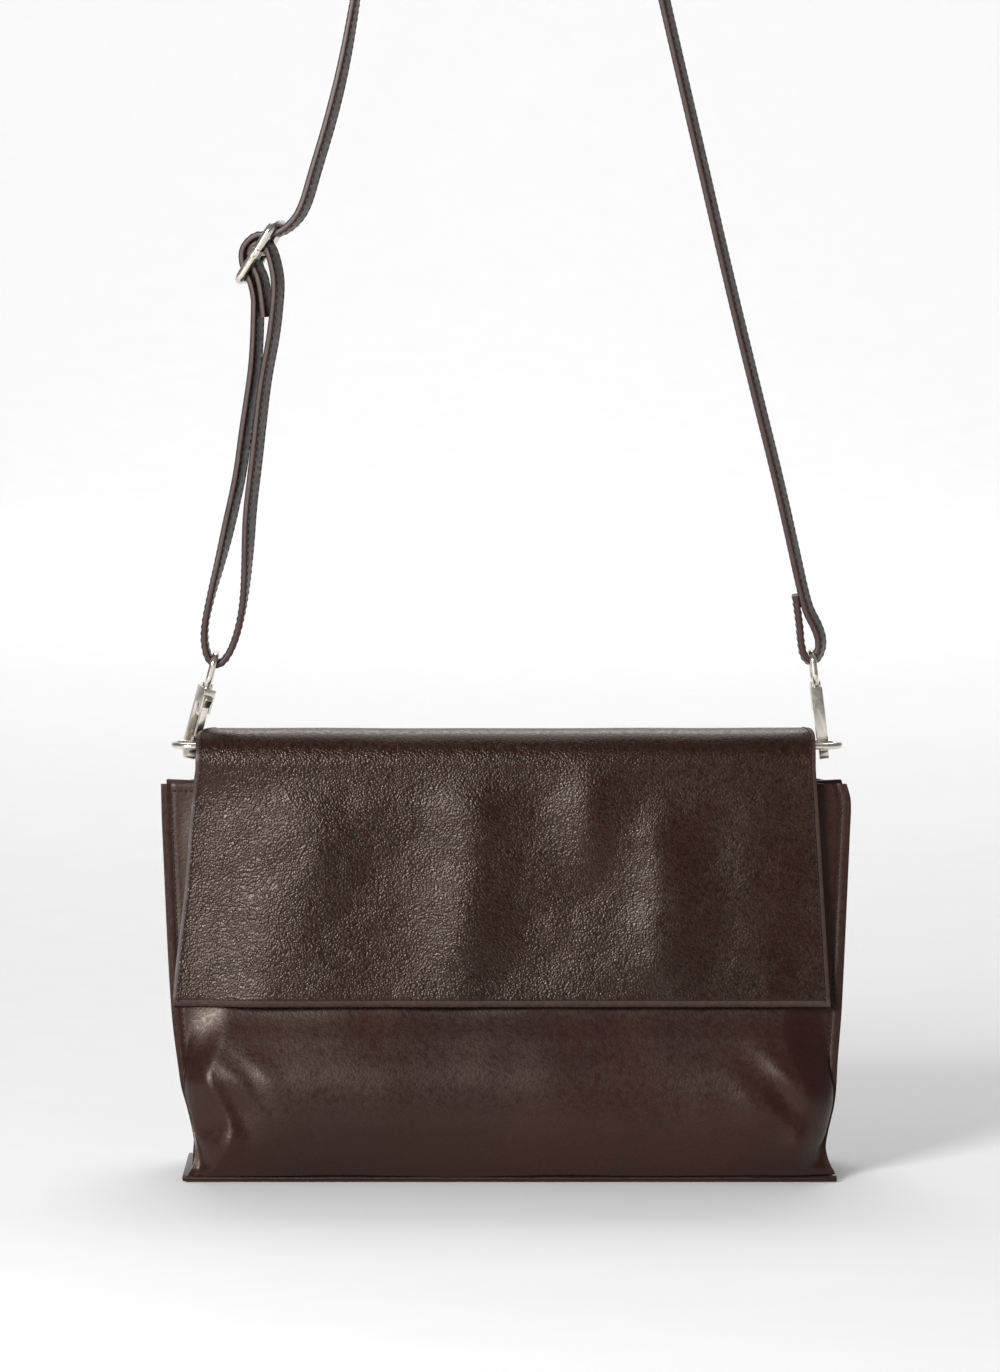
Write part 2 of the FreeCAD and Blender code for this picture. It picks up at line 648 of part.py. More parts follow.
def ribbon(name, route):
    """A flat strap along a route in the XZ plane: straight runs joined by tangent arcs."""
    points = [V(x, STRAP_Y, z) for x, z in route]
    left, right = [], []
    half = STRAP_T / 2
    length = 0.0
    radii = []
    here = points[0]
    for i in range(1, len(points)):
        into = (points[i] - points[i - 1])
        run_in = into.Length
        into.normalize()
        side = V(-into.z, 0, into.x)
        if i == len(points) - 1:
            stop = points[i]
            bend = None
        else:
            out = points[i + 1] - points[i]
            run_out = out.Length
            out.normalize()
            turn = into.getAngle(out)
            cut = 0.45 * min(run_in, run_out)
            radius = cut / math.tan(turn / 2)
            radii.append(round(radius, 1))
            stop = points[i] - into * cut
            bend = (out, cut, radius, turn)
        left.append(Part.LineSegment(here + side * half, stop + side * half).toShape())
        right.append(Part.LineSegment(here - side * half, stop - side * half).toShape())
        length += (stop - here).Length
        if bend:
            out, cut, radius, turn = bend
            sense = 1 if side.dot(out) > 0 else -1
            centre = stop + side * (sense * radius)
            end = points[i] + out * cut
            middle = (stop - centre) + (end - centre)
            middle.normalize()
            for chain, offset in ((left, half), (right, -half)):
                r = radius - sense * offset
                a = centre + (stop - centre) * (r / radius)
                b = centre + (end - centre) * (r / radius)
                chain.append(Part.Arc(a, centre + middle * r, b).toShape())
            length += radius * turn
            here = end
    first = Part.LineSegment(left[0].Vertexes[0].Point, right[0].Vertexes[0].Point).toShape()
    last = Part.LineSegment(left[-1].Vertexes[-1].Point, right[-1].Vertexes[-1].Point).toShape()
    outline = Part.Wire(Part.__sortEdges__(left + [last] + right + [first]))
    solid = Part.Face(outline).extrude(V(0, STRAP_W, 0))
    solid.translate(V(0, -STRAP_W / 2, 0))
    share = solid.Volume / (length * STRAP_T * STRAP_W)
    print(name, "length", round(length, 1), "volume ratio", round(share, 4))
    print(name, "radii", radii)
    return solid


def slider_frame():
    """The slider's round-wire frame, a rounded rectangle."""
    long = (SLIDER_TOP - SLIDER_LOW).Length / 2
    outline = rounded_loop(SLIDER_HALF_W, -long, long, SLIDER_CORNER)
    return to_slider(sweep(outline, SLIDER_WIRE_R, V(0, 0, -long), Y_AXIS))


def to_slider(shape):
    """Tips a shape from the YZ plane to the slider's plane, and moves it there."""
    along = SLIDER_TOP - SLIDER_LOW
    out = shape.copy()
    out.rotate(V(0, 0, 0), Y_AXIS, math.degrees(math.atan2(along.x, along.z)))
    out.translate((SLIDER_TOP + SLIDER_LOW) * 0.5)
    return out


def slider_bar():
    """The slider's middle bar, with the two rings that hold it on the frame."""
    reach = SLIDER_HALF_W - SLIDER_WIRE_R - BAR_GAP
    bar = Part.makeCylinder(BAR_R, 2 * reach, V(0, -reach, 0), Y_AXIS)
    cuffs = []
    for s in (-1, 1):
        foot = V(0, s * SLIDER_HALF_W, -CUFF_L / 2)
        cuff = Part.makeCylinder(SLIDER_WIRE_R + CUFF_T, CUFF_L, foot, Z_AXIS)
        cuffs.append(cuff.cut(Part.makeCylinder(SLIDER_WIRE_R, CUFF_L, foot, Z_AXIS)))
    return to_slider(bar.fuse(cuffs).removeSplitter())


def main():
    """Writes every node."""
    os.makedirs("parts", exist_ok=True)
    export("front_panel", front_panel())
    export("back_panel", back_panel())
    export("fold_roll", fold_roll())
    export("base_panel", base_panel())
    export("base_board", base_board())
    export("base_lining", base_lining())
    export("front_lining", front_lining())
    export("front_hem", front_hem())
    export("back_lining", back_lining())
    export("pocket_bag", pocket_bag())
    export("zip_tape", zip_tape())
    export("zip_teeth", zip_teeth())
    export("zip_slider", zip_slider())
    export("zip_puller", zip_puller())
    export("flap_leather", flap_leather())
    export("flap_lining", flap_lining())
    export("flap_snap", flap_snap())
    export("front_snap", front_snap())
    for side, word in ((-1, "left"), (1, "right")):
        export("gusset_" + word, gusset(side))
        export("gusset_lining_" + word, gusset_lining(side))
        export("d_ring_" + word, ring(side))
        export("ring_tab_" + word, ring_tab(side))
        export("hook_" + word, hang(hook_body(), side))
        export("gate_" + word, hang(gate(), side))
        export("gate_pin_" + word, hang(gate_pin(), side))
        export("gate_spring_" + word, hang(gate_spring(), side))
        export("eye_" + word, hang(eye(), side, turned=False))
    export("base_piping_front", piping(-1))
    export("base_piping_back", piping(1))
    export("strap_upper", ribbon("strap_upper", UPPER_ROUTE))
    export("strap_shoulder", ribbon("strap_shoulder", SHOULDER_ROUTE))
    export("strap_wrap", ribbon("strap_wrap", WRAP_ROUTE))
    export("strap_loop", ribbon("strap_loop", LOOP_ROUTE))
    export("strap_turn_back", ribbon("strap_turn_back", TURN_BACK_ROUTE))
    export("slider_frame", slider_frame())
    export("slider_bar", slider_bar())


main()
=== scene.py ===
"""Looks of a crossbody purse: soft dark leather over a fixed frame, with a flat strap and nickel fittings."""

import logging
import math
from dataclasses import dataclass, field
from enum import Enum
from typing import Any, Callable, Sequence

import bmesh
import bpy
from mathutils import Matrix, Vector, noise


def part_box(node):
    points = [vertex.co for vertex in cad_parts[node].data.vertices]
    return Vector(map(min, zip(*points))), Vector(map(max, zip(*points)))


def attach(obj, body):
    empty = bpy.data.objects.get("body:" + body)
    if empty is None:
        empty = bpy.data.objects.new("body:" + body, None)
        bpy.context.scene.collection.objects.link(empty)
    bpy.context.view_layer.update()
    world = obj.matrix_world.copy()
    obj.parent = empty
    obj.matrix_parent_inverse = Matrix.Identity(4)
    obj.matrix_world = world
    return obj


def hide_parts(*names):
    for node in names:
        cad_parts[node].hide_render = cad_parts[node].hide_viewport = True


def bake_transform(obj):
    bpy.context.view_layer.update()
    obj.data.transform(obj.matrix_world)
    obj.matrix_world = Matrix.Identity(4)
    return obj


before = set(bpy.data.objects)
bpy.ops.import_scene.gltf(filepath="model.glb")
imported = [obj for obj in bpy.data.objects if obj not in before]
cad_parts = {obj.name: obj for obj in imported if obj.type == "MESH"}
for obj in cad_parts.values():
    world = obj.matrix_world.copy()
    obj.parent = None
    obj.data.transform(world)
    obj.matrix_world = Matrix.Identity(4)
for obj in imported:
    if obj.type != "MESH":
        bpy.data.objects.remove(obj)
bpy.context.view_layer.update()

LOG = logging.getLogger("purse")
MM = 0.001
Point = tuple[float, float, float]
Colour = tuple[float, float, float, float]
Stops = Sequence[tuple[float, float]]
Place = Callable[[float, float], Point]
Twist = Callable[[float], float] | None

STITCH_SIDES = 6  # faces round one stitch
STITCH_FILL = 0.31  # half a stitch's length, over its pitch
STITCH_LIFT = 0.3  # how far a stitch's middle stands off the leather, over its radius
# A stitch's four rings: place over its half length, width over its radius, and how deep it dips.
STITCH_RINGS = ((-1.0, 0.45, 0.25), (-0.55, 1.0, 0.0), (0.55, 1.0, 0.0), (1.0, 0.45, 0.25))
CROWDED_ROWS = 1.15  # crowds the front leather's rows of points towards its foot
CROWDED_COLUMNS = 1.25  # crowds its columns towards the side seams
SLOPE_STEP = 0.004  # share of the flap's sheet over which its slope is read
WIDTH_WAY = Vector((0, 1, 0))  # the strap's width lies from front to back
STRAP_Y = 7.65  # the strap's plane, in mm behind the middle
RUN_TURN = math.radians(-13)  # most turn of the strap's left-hand run about the vertical
# Middle of that run: (height, x) in mm.
RUN_MIDDLE = [(236, -123.0), (285, -115.4), (345, -107.0), (380, -105.0), (420, -100.0), (560, -58.0)]


class Side(Enum):
    """The wearer's two ends of the purse, as seen from its front."""

    LEFT = -1
    RIGHT = 1

    @property
    def word(self) -> str:
        """The side's name in node names."""
        return self.name.lower()


def linear(hex_colour: str) -> Colour:
    """Turns an sRGB hex colour to linear RGBA.

    Args:
        hex_colour: Six hex digits, with no leading sign.

    Returns:
        The four linear values.
    """
    parts = [int(hex_colour[i:i + 2], 16) / 255 for i in (0, 2, 4)]
    return tuple(c / 12.92 if c <= 0.04045 else ((c + 0.055) / 1.055) ** 2.4 for c in parts) + (1.0,)


def smooth_step(low: float, high: float, value: float) -> float:
    """Eases from 0 at low to 1 at high."""
    t = min(1.0, max(0.0, (value - low) / (high - low)))
    return t * t * (3 - 2 * t)


def curve_at(stops: Stops, at: float) -> float:
    """Reads a smooth curve through (place, value) stops.

    Args:
        stops: Stops in rising order of place.
        at: Where to read.

    Returns:
        The value there, by monotone cubic steps between stops.
    """
    places = [s[0] for s in stops]
    values = [s[1] for s in stops]
    if at <= places[0]:
        return values[0]
    if at >= places[-1]:
        return values[-1]
    i = max(k for k in range(len(places) - 1) if places[k] <= at)
    slopes = []
    for k in range(len(places)):
        before = max(0, k - 1)
        after = min(len(places) - 1, k + 1)
        slopes.append((values[after] - values[before]) / (places[after] - places[before]))
    step = places[i + 1] - places[i]
    t = (at - places[i]) / step
    return (
        (2 * t**3 - 3 * t**2 + 1) * values[i] + (t**3 - 2 * t**2 + t) * step * slopes[i]
        + (3 * t**2 - 2 * t**3) * values[i + 1] + (t**3 - t**2) * step * slopes[i + 1]
    )


def shares(count: int) -> list[float]:
    """Evenly spaced shares from 0 to 1."""
    return [i / (count - 1) for i in range(count)]


def wander(x: float, y: float, z: float, size: float, seed: float = 0.0) -> float:
    """Smooth noise of about -1 to 1, with features of a given size in mm."""
    return noise.noise(Vector((x / size + seed, y / size - seed, z / size + 2 * seed)))


# ---------------------------------------------------------------- finishes


class Nodes:
    """A material's node tree, built a node at a time."""

    def __init__(self, name: str) -> None:
        """Starts an empty material with a Principled shader.

        Args:
            name: The material's name.
        """
        self.material = bpy.data.materials.new(name)
        self.material.use_nodes = True
        self.tree = self.material.node_tree
        self.shader = self.tree.nodes["Principled BSDF"]

    def add(self, kind: str, links: dict | None = None, **settings: Any) -> bpy.types.Node:
        """Adds a node with its settings and links.

        Args:
            kind: The node's Blender type.
            links: Input name or number to an output socket or a fixed value.
            **settings: Attributes of the node.

        Returns:
            The new node.
        """
        node = self.tree.nodes.new(kind)
        for key, value in settings.items():
            setattr(node, key, value)
        for key, value in (links or {}).items():
            self.put(node.inputs[key], value)
        return node

    def put(self, socket: bpy.types.NodeSocket, value: Any) -> None:
        """Links an output to a socket, or sets its fixed value."""
        if isinstance(value, bpy.types.NodeSocket):
            self.tree.links.new(value, socket)
        else:
            socket.default_value = value

    def set(self, name: str, value: Any) -> None:
        """Links or sets one input of the shader."""
        self.put(self.shader.inputs[name], value)

    def here(self) -> bpy.types.NodeSocket:
        """The object's own coordinates."""
        return self.add("ShaderNodeTexCoord").outputs["Object"]

    def ramp(self, factor: bpy.types.NodeSocket, stops: Sequence[tuple[float, Colour]]) -> bpy.types.NodeSocket:
        """A colour ramp.

        Args:
            factor: What drives it.
            stops: (place, colour) pairs in rising order, two or more.

        Returns:
            The ramp's colour output.
        """
        node = self.add("ShaderNodeValToRGB", {0: factor})
        elements = node.color_ramp.elements
        elements[0].position, elements[0].color = stops[0]
        elements[1].position, elements[1].color = stops[-1]
        for place, colour in stops[1:-1]:
            elements.new(place).color = colour
        return node.outputs["Color"]


def grey(value: float) -> Colour:
    """An opaque linear grey."""
    return (value, value, value, 1.0)


@dataclass(frozen=True)
class NappaLeather:
    """Drum-dyed cowhide, lightly pebbled and waxed: broken satin glints over a deep brown.

    Attributes:
        name: The material's name.
        deep: Colour in the creases.
        face: Colour of the grain's tops.
        grain_mm: Width of one pebble.
        crease: Strength of the pebbles in relief.
        wrinkle: Strength of the fine, drawn wrinkles.
        roughness: Middle roughness.
        sheen_low: How much smoother the rubbed patches are.
    """

    name: str
    deep: str
    face: str
    grain_mm: float
    crease: float
    wrinkle: float
    roughness: float
    sheen_low: float = 0.12

    def make(self) -> bpy.types.Material:
        """Builds the material."""
        n = Nodes(self.name)
        here = n.here()
        warp = n.add("ShaderNodeTexNoise", {"Vector": here, "Scale": 120.0, "Detail": 2.0})
        sway = (0.0035, 0.0035, 0.0035)
        moved = n.add("ShaderNodeVectorMath", {0: warp.outputs["Color"], 1: sway}, operation="MULTIPLY")
        place = n.add("ShaderNodeVectorMath", {0: here, 1: moved.outputs[0]}, operation="ADD").outputs[0]
        scale = 1.0 / (self.grain_mm * MM)
        drawn = n.add("ShaderNodeAttribute", attribute_name="drawn_smooth").outputs["Fac"]
        left_soft = n.add("ShaderNodeMapRange", {"Value": drawn, "To Min": 1.0, "To Max": 0.25}).outputs[0]
        pebble = n.add(
            "ShaderNodeTexVoronoi", {"Vector": place, "Scale": scale, "Smoothness": 0.35}, feature="SMOOTH_F1"
        ).outputs["Distance"]
        small = n.add(
            "ShaderNodeTexVoronoi",
            {"Vector": place, "Scale": scale * 2.1, "Smoothness": 0.4}, feature="SMOOTH_F1"
        ).outputs["Distance"]
        lines = n.add(
            "ShaderNodeTexNoise", {"Vector": place, "Scale": scale * 0.45, "Detail": 5.0, "Roughness": 0.6})
        slow = n.add("ShaderNodeTexNoise", {"Vector": here, "Scale": 16.0, "Detail": 3.0})
        tone = n.add("ShaderNodeMapRange", {"Value": pebble, "From Min": 0.75, "From Max": 0.1}).outputs[0]
        round_top = n.add("ShaderNodeMapRange", {"Value": small, "From Min": 0.7, "From Max": 0.1}).outputs[0]
        colour = n.ramp(tone, [(0.0, linear(self.deep)), (1.0, linear(self.face))])
        patch = n.ramp(slow.outputs["Fac"], [(0.35, grey(0.72)), (0.65, grey(1.0))])
        base = n.add(
            "ShaderNodeMix", {"Factor": 1.0, 6: colour, 7: patch}, data_type="RGBA", blend_type="MULTIPLY")
        n.set("Base Color", base.outputs[2])
        rub = n.add(
            "ShaderNodeMapRange",
            {"Value": lines.outputs["Fac"], "From Min": 0.3, "From Max": 0.7,
             "To Min": self.roughness - self.sheen_low, "To Max": self.roughness + 0.12},
        )
        n.set("Roughness", rub.outputs[0])
        fine = n.add(
            "ShaderNodeBump", {"Height": lines.outputs["Fac"], "Strength": self.wrinkle, "Distance": 0.0006})
        small_relief = n.add("ShaderNodeMath", {0: left_soft, 1: self.crease * 0.2}, operation="MULTIPLY")
        mid = n.add("ShaderNodeBump", {
            "Height": round_top, "Strength": small_relief.outputs[0], "Distance": 0.0005,
            "Normal": fine.outputs[0]})
        relief = n.add("ShaderNodeMath", {0: left_soft, 1: self.crease}, operation="MULTIPLY")
        coarse = n.add("ShaderNodeBump", {
            "Height": tone, "Strength": relief.outputs[0], "Distance": 0.0004, "Normal": mid.outputs[0]})
        n.set("Normal", coarse.outputs[0])
        n.set("IOR", 1.5)
        n.set("Specular Tint", (1.0, 0.86, 0.74, 1.0))
        n.set("Specular IOR Level", 0.42)
        return n.material


@dataclass(frozen=True)
class PaintedEdge:
    """Edge paint over cut leather: a smooth, slightly lighter line along every raw edge. On the flap it also
    colours a band up the rolled lower edge as a painted highlight.
    """

    name: str = "painted_leather_edge"
    colour: str = "46302a"

    def make(self) -> bpy.types.Material:
        """Builds the material."""
        n = Nodes(self.name)
        here = n.here()
        streak = n.add("ShaderNodeTexNoise", {"Vector": here, "Scale": 400.0, "Detail": 3.0})
        n.set("Base Color", n.ramp(
            streak.outputs["Fac"], [(0.3, linear("35211c")), (0.7, linear(self.colour))]))
        n.set("Roughness", 0.42)
        bump = n.add("ShaderNodeBump", {"Height": streak.outputs["Fac"], "Strength": 0.25, "Distance": 0.0003})
        n.set("Normal", bump.outputs[0])
        return n.material


@dataclass(frozen=True)
class BondedThread:
    """Waxed polyester thread: two plies that catch a small glint on every stitch."""

    name: str = "bonded_thread"
    colour: str = "2a1c17"

    def make(self) -> bpy.types.Material:
        """Builds the material."""
        n = Nodes(self.name)
        here = n.here()
        ply = n.add("ShaderNodeTexWave", {"Vector": here, "Scale": 900.0}, bands_direction="DIAGONAL")
        n.set("Base Color", n.ramp(
            ply.outputs["Fac"], [(0.0, linear("140b08")), (1.0, linear(self.colour))]))
        n.set("Roughness", 0.6)
        return n.material


@dataclass(frozen=True)
class NickelPlate:
    """Polished nickel over cast zinc: a warm mirror with faint tumbling marks."""

    name: str = "polished_nickel"
    colour: str = "f0ebe1"
    roughness: float = 0.2

    def make(self) -> bpy.types.Material:
        """Builds the material."""
        n = Nodes(self.name)
        here = n.here()
        marks = n.add("ShaderNodeTexNoise", {"Vector": here, "Scale": 700.0, "Detail": 4.0})
        n.set("Base Color", n.ramp(
            marks.outputs["Fac"], [(0.3, linear("dcd5c8")), (0.7, linear(self.colour))]))
        n.set("Metallic", 1.0)
        span = n.add("ShaderNodeMapRange", {
            "Value": marks.outputs["Fac"], "To Min": self.roughness - 0.06, "To Max": self.roughness + 0.1})
        n.set("Roughness", span.outputs[0])
        bump = n.add("ShaderNodeBump", {"Height": marks.outputs["Fac"], "Strength": 0.06, "Distance": 0.0002})
        n.set("Normal", bump.outputs[0])
        return n.material


@dataclass(frozen=True)
class TwillLining:
    """Cotton twill: fine diagonal ribs, dull and dark brown."""

    name: str = "cotton_twill"
    light: str = "4d4038"
    dark: str = "2b221d"
    rib_mm: float = 1.2

    def make(self) -> bpy.types.Material:
        """Builds the material; the rib is drawn twice its real width so that it shows."""
        n = Nodes(self.name)
        here = n.here()
        rib = n.add("ShaderNodeTexWave", {
            "Vector": here, "Scale": 0.31 / (self.rib_mm * MM), "Distortion": 0.4},
            bands_direction="DIAGONAL")
        n.set("Base Color", n.ramp(
            rib.outputs["Fac"], [(0.0, linear(self.dark)), (1.0, linear(self.light))]))
        n.set("Roughness", 0.9)
        bump = n.add("ShaderNodeBump", {"Height": rib.outputs["Fac"], "Strength": 0.5, "Distance": 0.0003})
        n.set("Normal", bump.outputs[0])
        return n.material


@dataclass(frozen=True)
class GreyBoard:
    """Pressed bag board: a flat grey-brown with flecks."""

    name: str = "pressed_board"

    def make(self) -> bpy.types.Material:
        """Builds the material."""
        n = Nodes(self.name)
        here = n.here()
        fleck = n.add("ShaderNodeTexNoise", {"Vector": here, "Scale": 300.0, "Detail": 5.0})
        n.set("Base Color", n.ramp(
            fleck.outputs["Fac"], [(0.35, linear("6b6056")), (0.65, linear("8c8176"))]))
        n.set("Roughness", 0.85)
        return n.material


class Palette:
    """Every finish, made once."""

    def __init__(self) -> None:
        """Builds the materials."""
        self.flap = NappaLeather("pebbled_nappa_flap", "1a0a05", "34170d", 1.0, 0.42, 0.15, 0.33).make()
        self.pouch = NappaLeather("smooth_nappa_pouch", "2a1310", "301612", 1.1, 0.07, 0.12, 0.35, 0.08).make()
        self.strap = NappaLeather("firm_strap_leather", "26110c", "3a2019", 0.9, 0.25, 0.2, 0.42).make()
        self.suede = NappaLeather("split_leather_lining", "1c120f", "2c1f1a", 0.7, 0.2, 0.7, 0.7, 0.02).make()
        self.edge = PaintedEdge().make()
        self.thread = BondedThread().make()
        self.nickel = NickelPlate().make()
        self.zip_metal = NickelPlate("satin_zip_metal", "b9b2a6", 0.3).make()
        self.lining = TwillLining().make()
        self.tape = TwillLining("woven_zip_tape", "3a2f2a", "1f1815", 0.8).make()
        self.board = GreyBoard().make()


# ---------------------------------------------------------------- shared making


def clear_selection() -> None:
    """Leaves nothing selected and no object in edit mode."""
    if bpy.context.object and bpy.context.object.mode != "OBJECT":
        bpy.ops.object.mode_set(mode="OBJECT")
    bpy.ops.object.select_all(action="DESELECT")


def make_active(piece: bpy.types.Object) -> None:
    """Selects one object only and makes it active."""
    clear_selection()
    piece.select_set(True)
    bpy.context.view_layer.objects.active = piece


def apply_modifier(piece: bpy.types.Object, kind: str, **settings: Any) -> None:
    """Adds a modifier and applies it.

    Args:
        piece: The object.
        kind: The modifier's Blender type.
        **settings: Attributes of the modifier.
    """
    make_active(piece)
    modifier = piece.modifiers.new(kind.lower(), kind)
    for key, value in settings.items():
        setattr(modifier, key, value)
    bpy.ops.object.modifier_apply(modifier=modifier.name)


def smooth(piece: bpy.types.Object, degrees: float = 40.0) -> None:
    """Shades a piece smooth, with edges sharper than an angle left crisp."""
    make_active(piece)
    bpy.ops.object.shade_smooth_by_angle(angle=math.radians(degrees))


def dress(piece: bpy.types.Object, *materials: bpy.types.Material) -> None:
    """Puts materials on a piece's slots."""
    piece.data.materials.clear()
    for material in materials:
        piece.data.materials.append(material)


def grid_sheet(name: str, across: int, along: int, place: Place) -> bpy.types.Object:
    """A sheet from a grid primitive, whose points are moved to a shape.

    Args:
        name: The piece's name.
        across: Faces across.
        along: Faces along.
        place: Gives a point in mm from (s, t), both 0 to 1.

    Returns:
        The sheet, with its front as place's s cross t.
    """
    clear_selection()
    bpy.ops.mesh.primitive_grid_add(x_subdivisions=across, y_subdivisions=along, size=2.0)
    piece = bpy.context.object
    piece.name = name
    piece.data.name = name
    for vertex in piece.data.vertices:
        x, y, z = place((vertex.co.x + 1) / 2, (vertex.co.y + 1) / 2)
        vertex.co = Vector((x, y, z)) * MM
    piece.data.update()
    return piece


def thicken(piece: bpy.types.Object, thickness_mm: float, offset: float = -1.0) -> None:
    """Gives a sheet its thickness and a rolled edge; rim faces take the second material.

    Args:
        piece: The sheet.
        thickness_mm: Its thickness.
        offset: -1 grows it behind its front, 1 in front of it.
    """
    apply_modifier(
        piece, "SOLIDIFY", thickness=thickness_mm * MM, offset=offset, material_offset_rim=1,
        use_even_offset=True)
    apply_modifier(
        piece, "BEVEL", width=0.32 * thickness_mm * MM, segments=2, limit_method="ANGLE",
        angle_limit=math.radians(60))
    smooth(piece, 50)


def draw_smooth(piece: bpy.types.Object, amount: Callable[[Vector], float]) -> None:
    """Marks where the leather is drawn tight and its grain is flattened.

    Args:
        piece: The leather.
        amount: Gives 0 to 1 from a point in mm.
    """
    marks = piece.data.attributes.new("drawn_smooth", "FLOAT", "POINT")
    marks.data.foreach_set("value", [amount(v.co / MM) for v in piece.data.vertices])


def refined(node: str, name: str, bevel_mm: float, segments: int = 3) -> bpy.types.Object:
    """A new piece from a CAD node's shape, with its edges rounded off.

    Args:
        node: The CAD node.
        name: The new piece's name.
        bevel_mm: Width of the rounding.
        segments: Faces across the rounding.

    Returns:
        The piece, which replaces the node.
    """
    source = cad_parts[node]
    piece = bpy.data.objects.new(name, source.data.copy())
    bpy.context.collection.objects.link(piece)
    make_active(piece)
    bpy.ops.object.mode_set(mode="EDIT")
    bpy.ops.mesh.select_all(action="SELECT")
    bpy.ops.mesh.remove_doubles(threshold=0.00001)
    bpy.ops.mesh.dissolve_limited(angle_limit=math.radians(1.0))
    bpy.ops.object.mode_set(mode="OBJECT")
    if bevel_mm:
        apply_modifier(
            piece, "BEVEL", width=bevel_mm * MM, segments=segments, limit_method="ANGLE",
            angle_limit=math.radians(35), use_clamp_overlap=True)
    smooth(piece, 40)
    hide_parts(node)
    return piece


def join_rings(mesh: bmesh.types.BMesh, rings: Sequence[Sequence[bmesh.types.BMVert]]) -> None:
    """Makes the walls between rings of points, and closes both ends.

    Args:
        mesh: The mesh that holds the points.
        rings: Rings of equal count, in order.
    """
    sides = len(rings[0])
    for a, b in zip(rings, rings[1:]):
        for s in range(sides):
            mesh.faces.new((a[s], a[(s + 1) % sides], b[(s + 1) % sides], b[s]))
    mesh.faces.new(list(reversed(rings[0])))
    mesh.faces.new(rings[-1])


def piece_from(name: str, mesh: bmesh.types.BMesh, degrees: float) -> bpy.types.Object:
    """Turns a built mesh into a piece with outward normals.

    Args:
        name: The piece's name.
        mesh: The mesh, which is used up.
        degrees: Edges sharper than this stay crisp.

    Returns:
        The piece.
    """
    bmesh.ops.recalc_face_normals(mesh, faces=mesh.faces)
    data = bpy.data.meshes.new(name)
    mesh.to_mesh(data)
    mesh.free()
    piece = bpy.data.objects.new(name, data)
    bpy.context.collection.objects.link(piece)
    smooth(piece, degrees)
    return piece


def turn_run(point: Vector) -> Vector:
    """Turns the left-hand run of the strap, and its slider, a little about the vertical.

    Args:
        point: A point in metres.

    Returns:
        The turned point.
    """
    z = point.z / MM
    angle = RUN_TURN * smooth_step(236, 285, z) * smooth_step(560, 455, z)
    middle = Vector((curve_at(RUN_MIDDLE, z), STRAP_Y, z)) * MM
    return middle + Matrix.Rotation(angle, 3, "Z") @ (point - middle)


def turn_piece(piece: bpy.types.Object) -> None:
    """Turns a piece of the left-hand run with it."""
    for vertex in piece.data.vertices:
        if vertex.co.x < 0:
            vertex.co = turn_run(vertex.co)
    piece.data.update()


def route_points(name: str, route: Sequence[Point]) -> list[Vector]:
    """Points along the smooth NURBS line of a route.

    Args:
        name: The line's name while it is made.
        route: Its control points, in metres.

    Returns:
        Points close together along the line.
    """
    curve = bpy.data.curves.new(name, "CURVE")
    curve.dimensions = "3D"
    curve.resolution_u = 14
    spline = curve.splines.new("NURBS")
    spline.points.add(len(route) - 1)
    for point, place in zip(spline.points, route):
        point.co = (*place, 1.0)
    spline.order_u = 3
    spline.use_endpoint_u = True
    holder = bpy.data.objects.new(name, curve)
    bpy.context.collection.objects.link(holder)
    line = bpy.data.meshes.new_from_object(holder)
    points = [v.co.copy() for v in line.vertices]
    bpy.data.objects.remove(holder)
    bpy.data.curves.remove(curve)
    bpy.data.meshes.remove(line)
    return [p for i, p in enumerate(points) if i == 0 or (p - points[i - 1]).length > 1e-5]


def stitches(
    name: str, line: Sequence[Vector], normals: Sequence[Vector], pitch_mm: float = 2.5,
    radius_mm: float = 0.4,
) -> bpy.types.Object:
    """A row of stitches lying along a line.

    Args:
        name: The row's name.
        line: Points of the seam, in metres.
        normals: The leather's outward direction at each point.
        pitch_mm: Stitch length, with its gap.
        radius_mm: Half the thread's width.

    Returns:
        One piece that holds every stitch.
    """
    lengths = [0.0]
    for a, b in zip(line, line[1:]):
        lengths.append(lengths[-1] + (b - a).length)
    count = max(2, int(lengths[-1] / (pitch_mm * MM)))
    stitch_half = STITCH_FILL * pitch_mm * MM
    radius = radius_mm * MM
    mesh = bmesh.new()
    for i in range(count):
        at = (i + 0.5) * lengths[-1] / count
        k = max(j for j in range(len(lengths) - 1) if lengths[j] <= at)
        t = (at - lengths[k]) / (lengths[k + 1] - lengths[k])
        centre = line[k].lerp(line[k + 1], t)
        forward = (line[k + 1] - line[k]).normalized()
        up = normals[k].normalized()
        cross = forward.cross(up).normalized()
        rings = []
        for share, width, sink in STITCH_RINGS:
            middle = centre + forward * (share * stitch_half) + up * (radius * (STITCH_LIFT - sink * 2))
            rings.append([
                mesh.verts.new(middle + (cross * math.cos(a) + up * math.sin(a)) * radius * width)
                for a in (2 * math.pi * s / STITCH_SIDES for s in range(STITCH_SIDES))
            ])
        join_rings(mesh, rings)
    mesh.normal_update()
    return piece_from(name, mesh, 70)


# ---------------------------------------------------------------- pouch


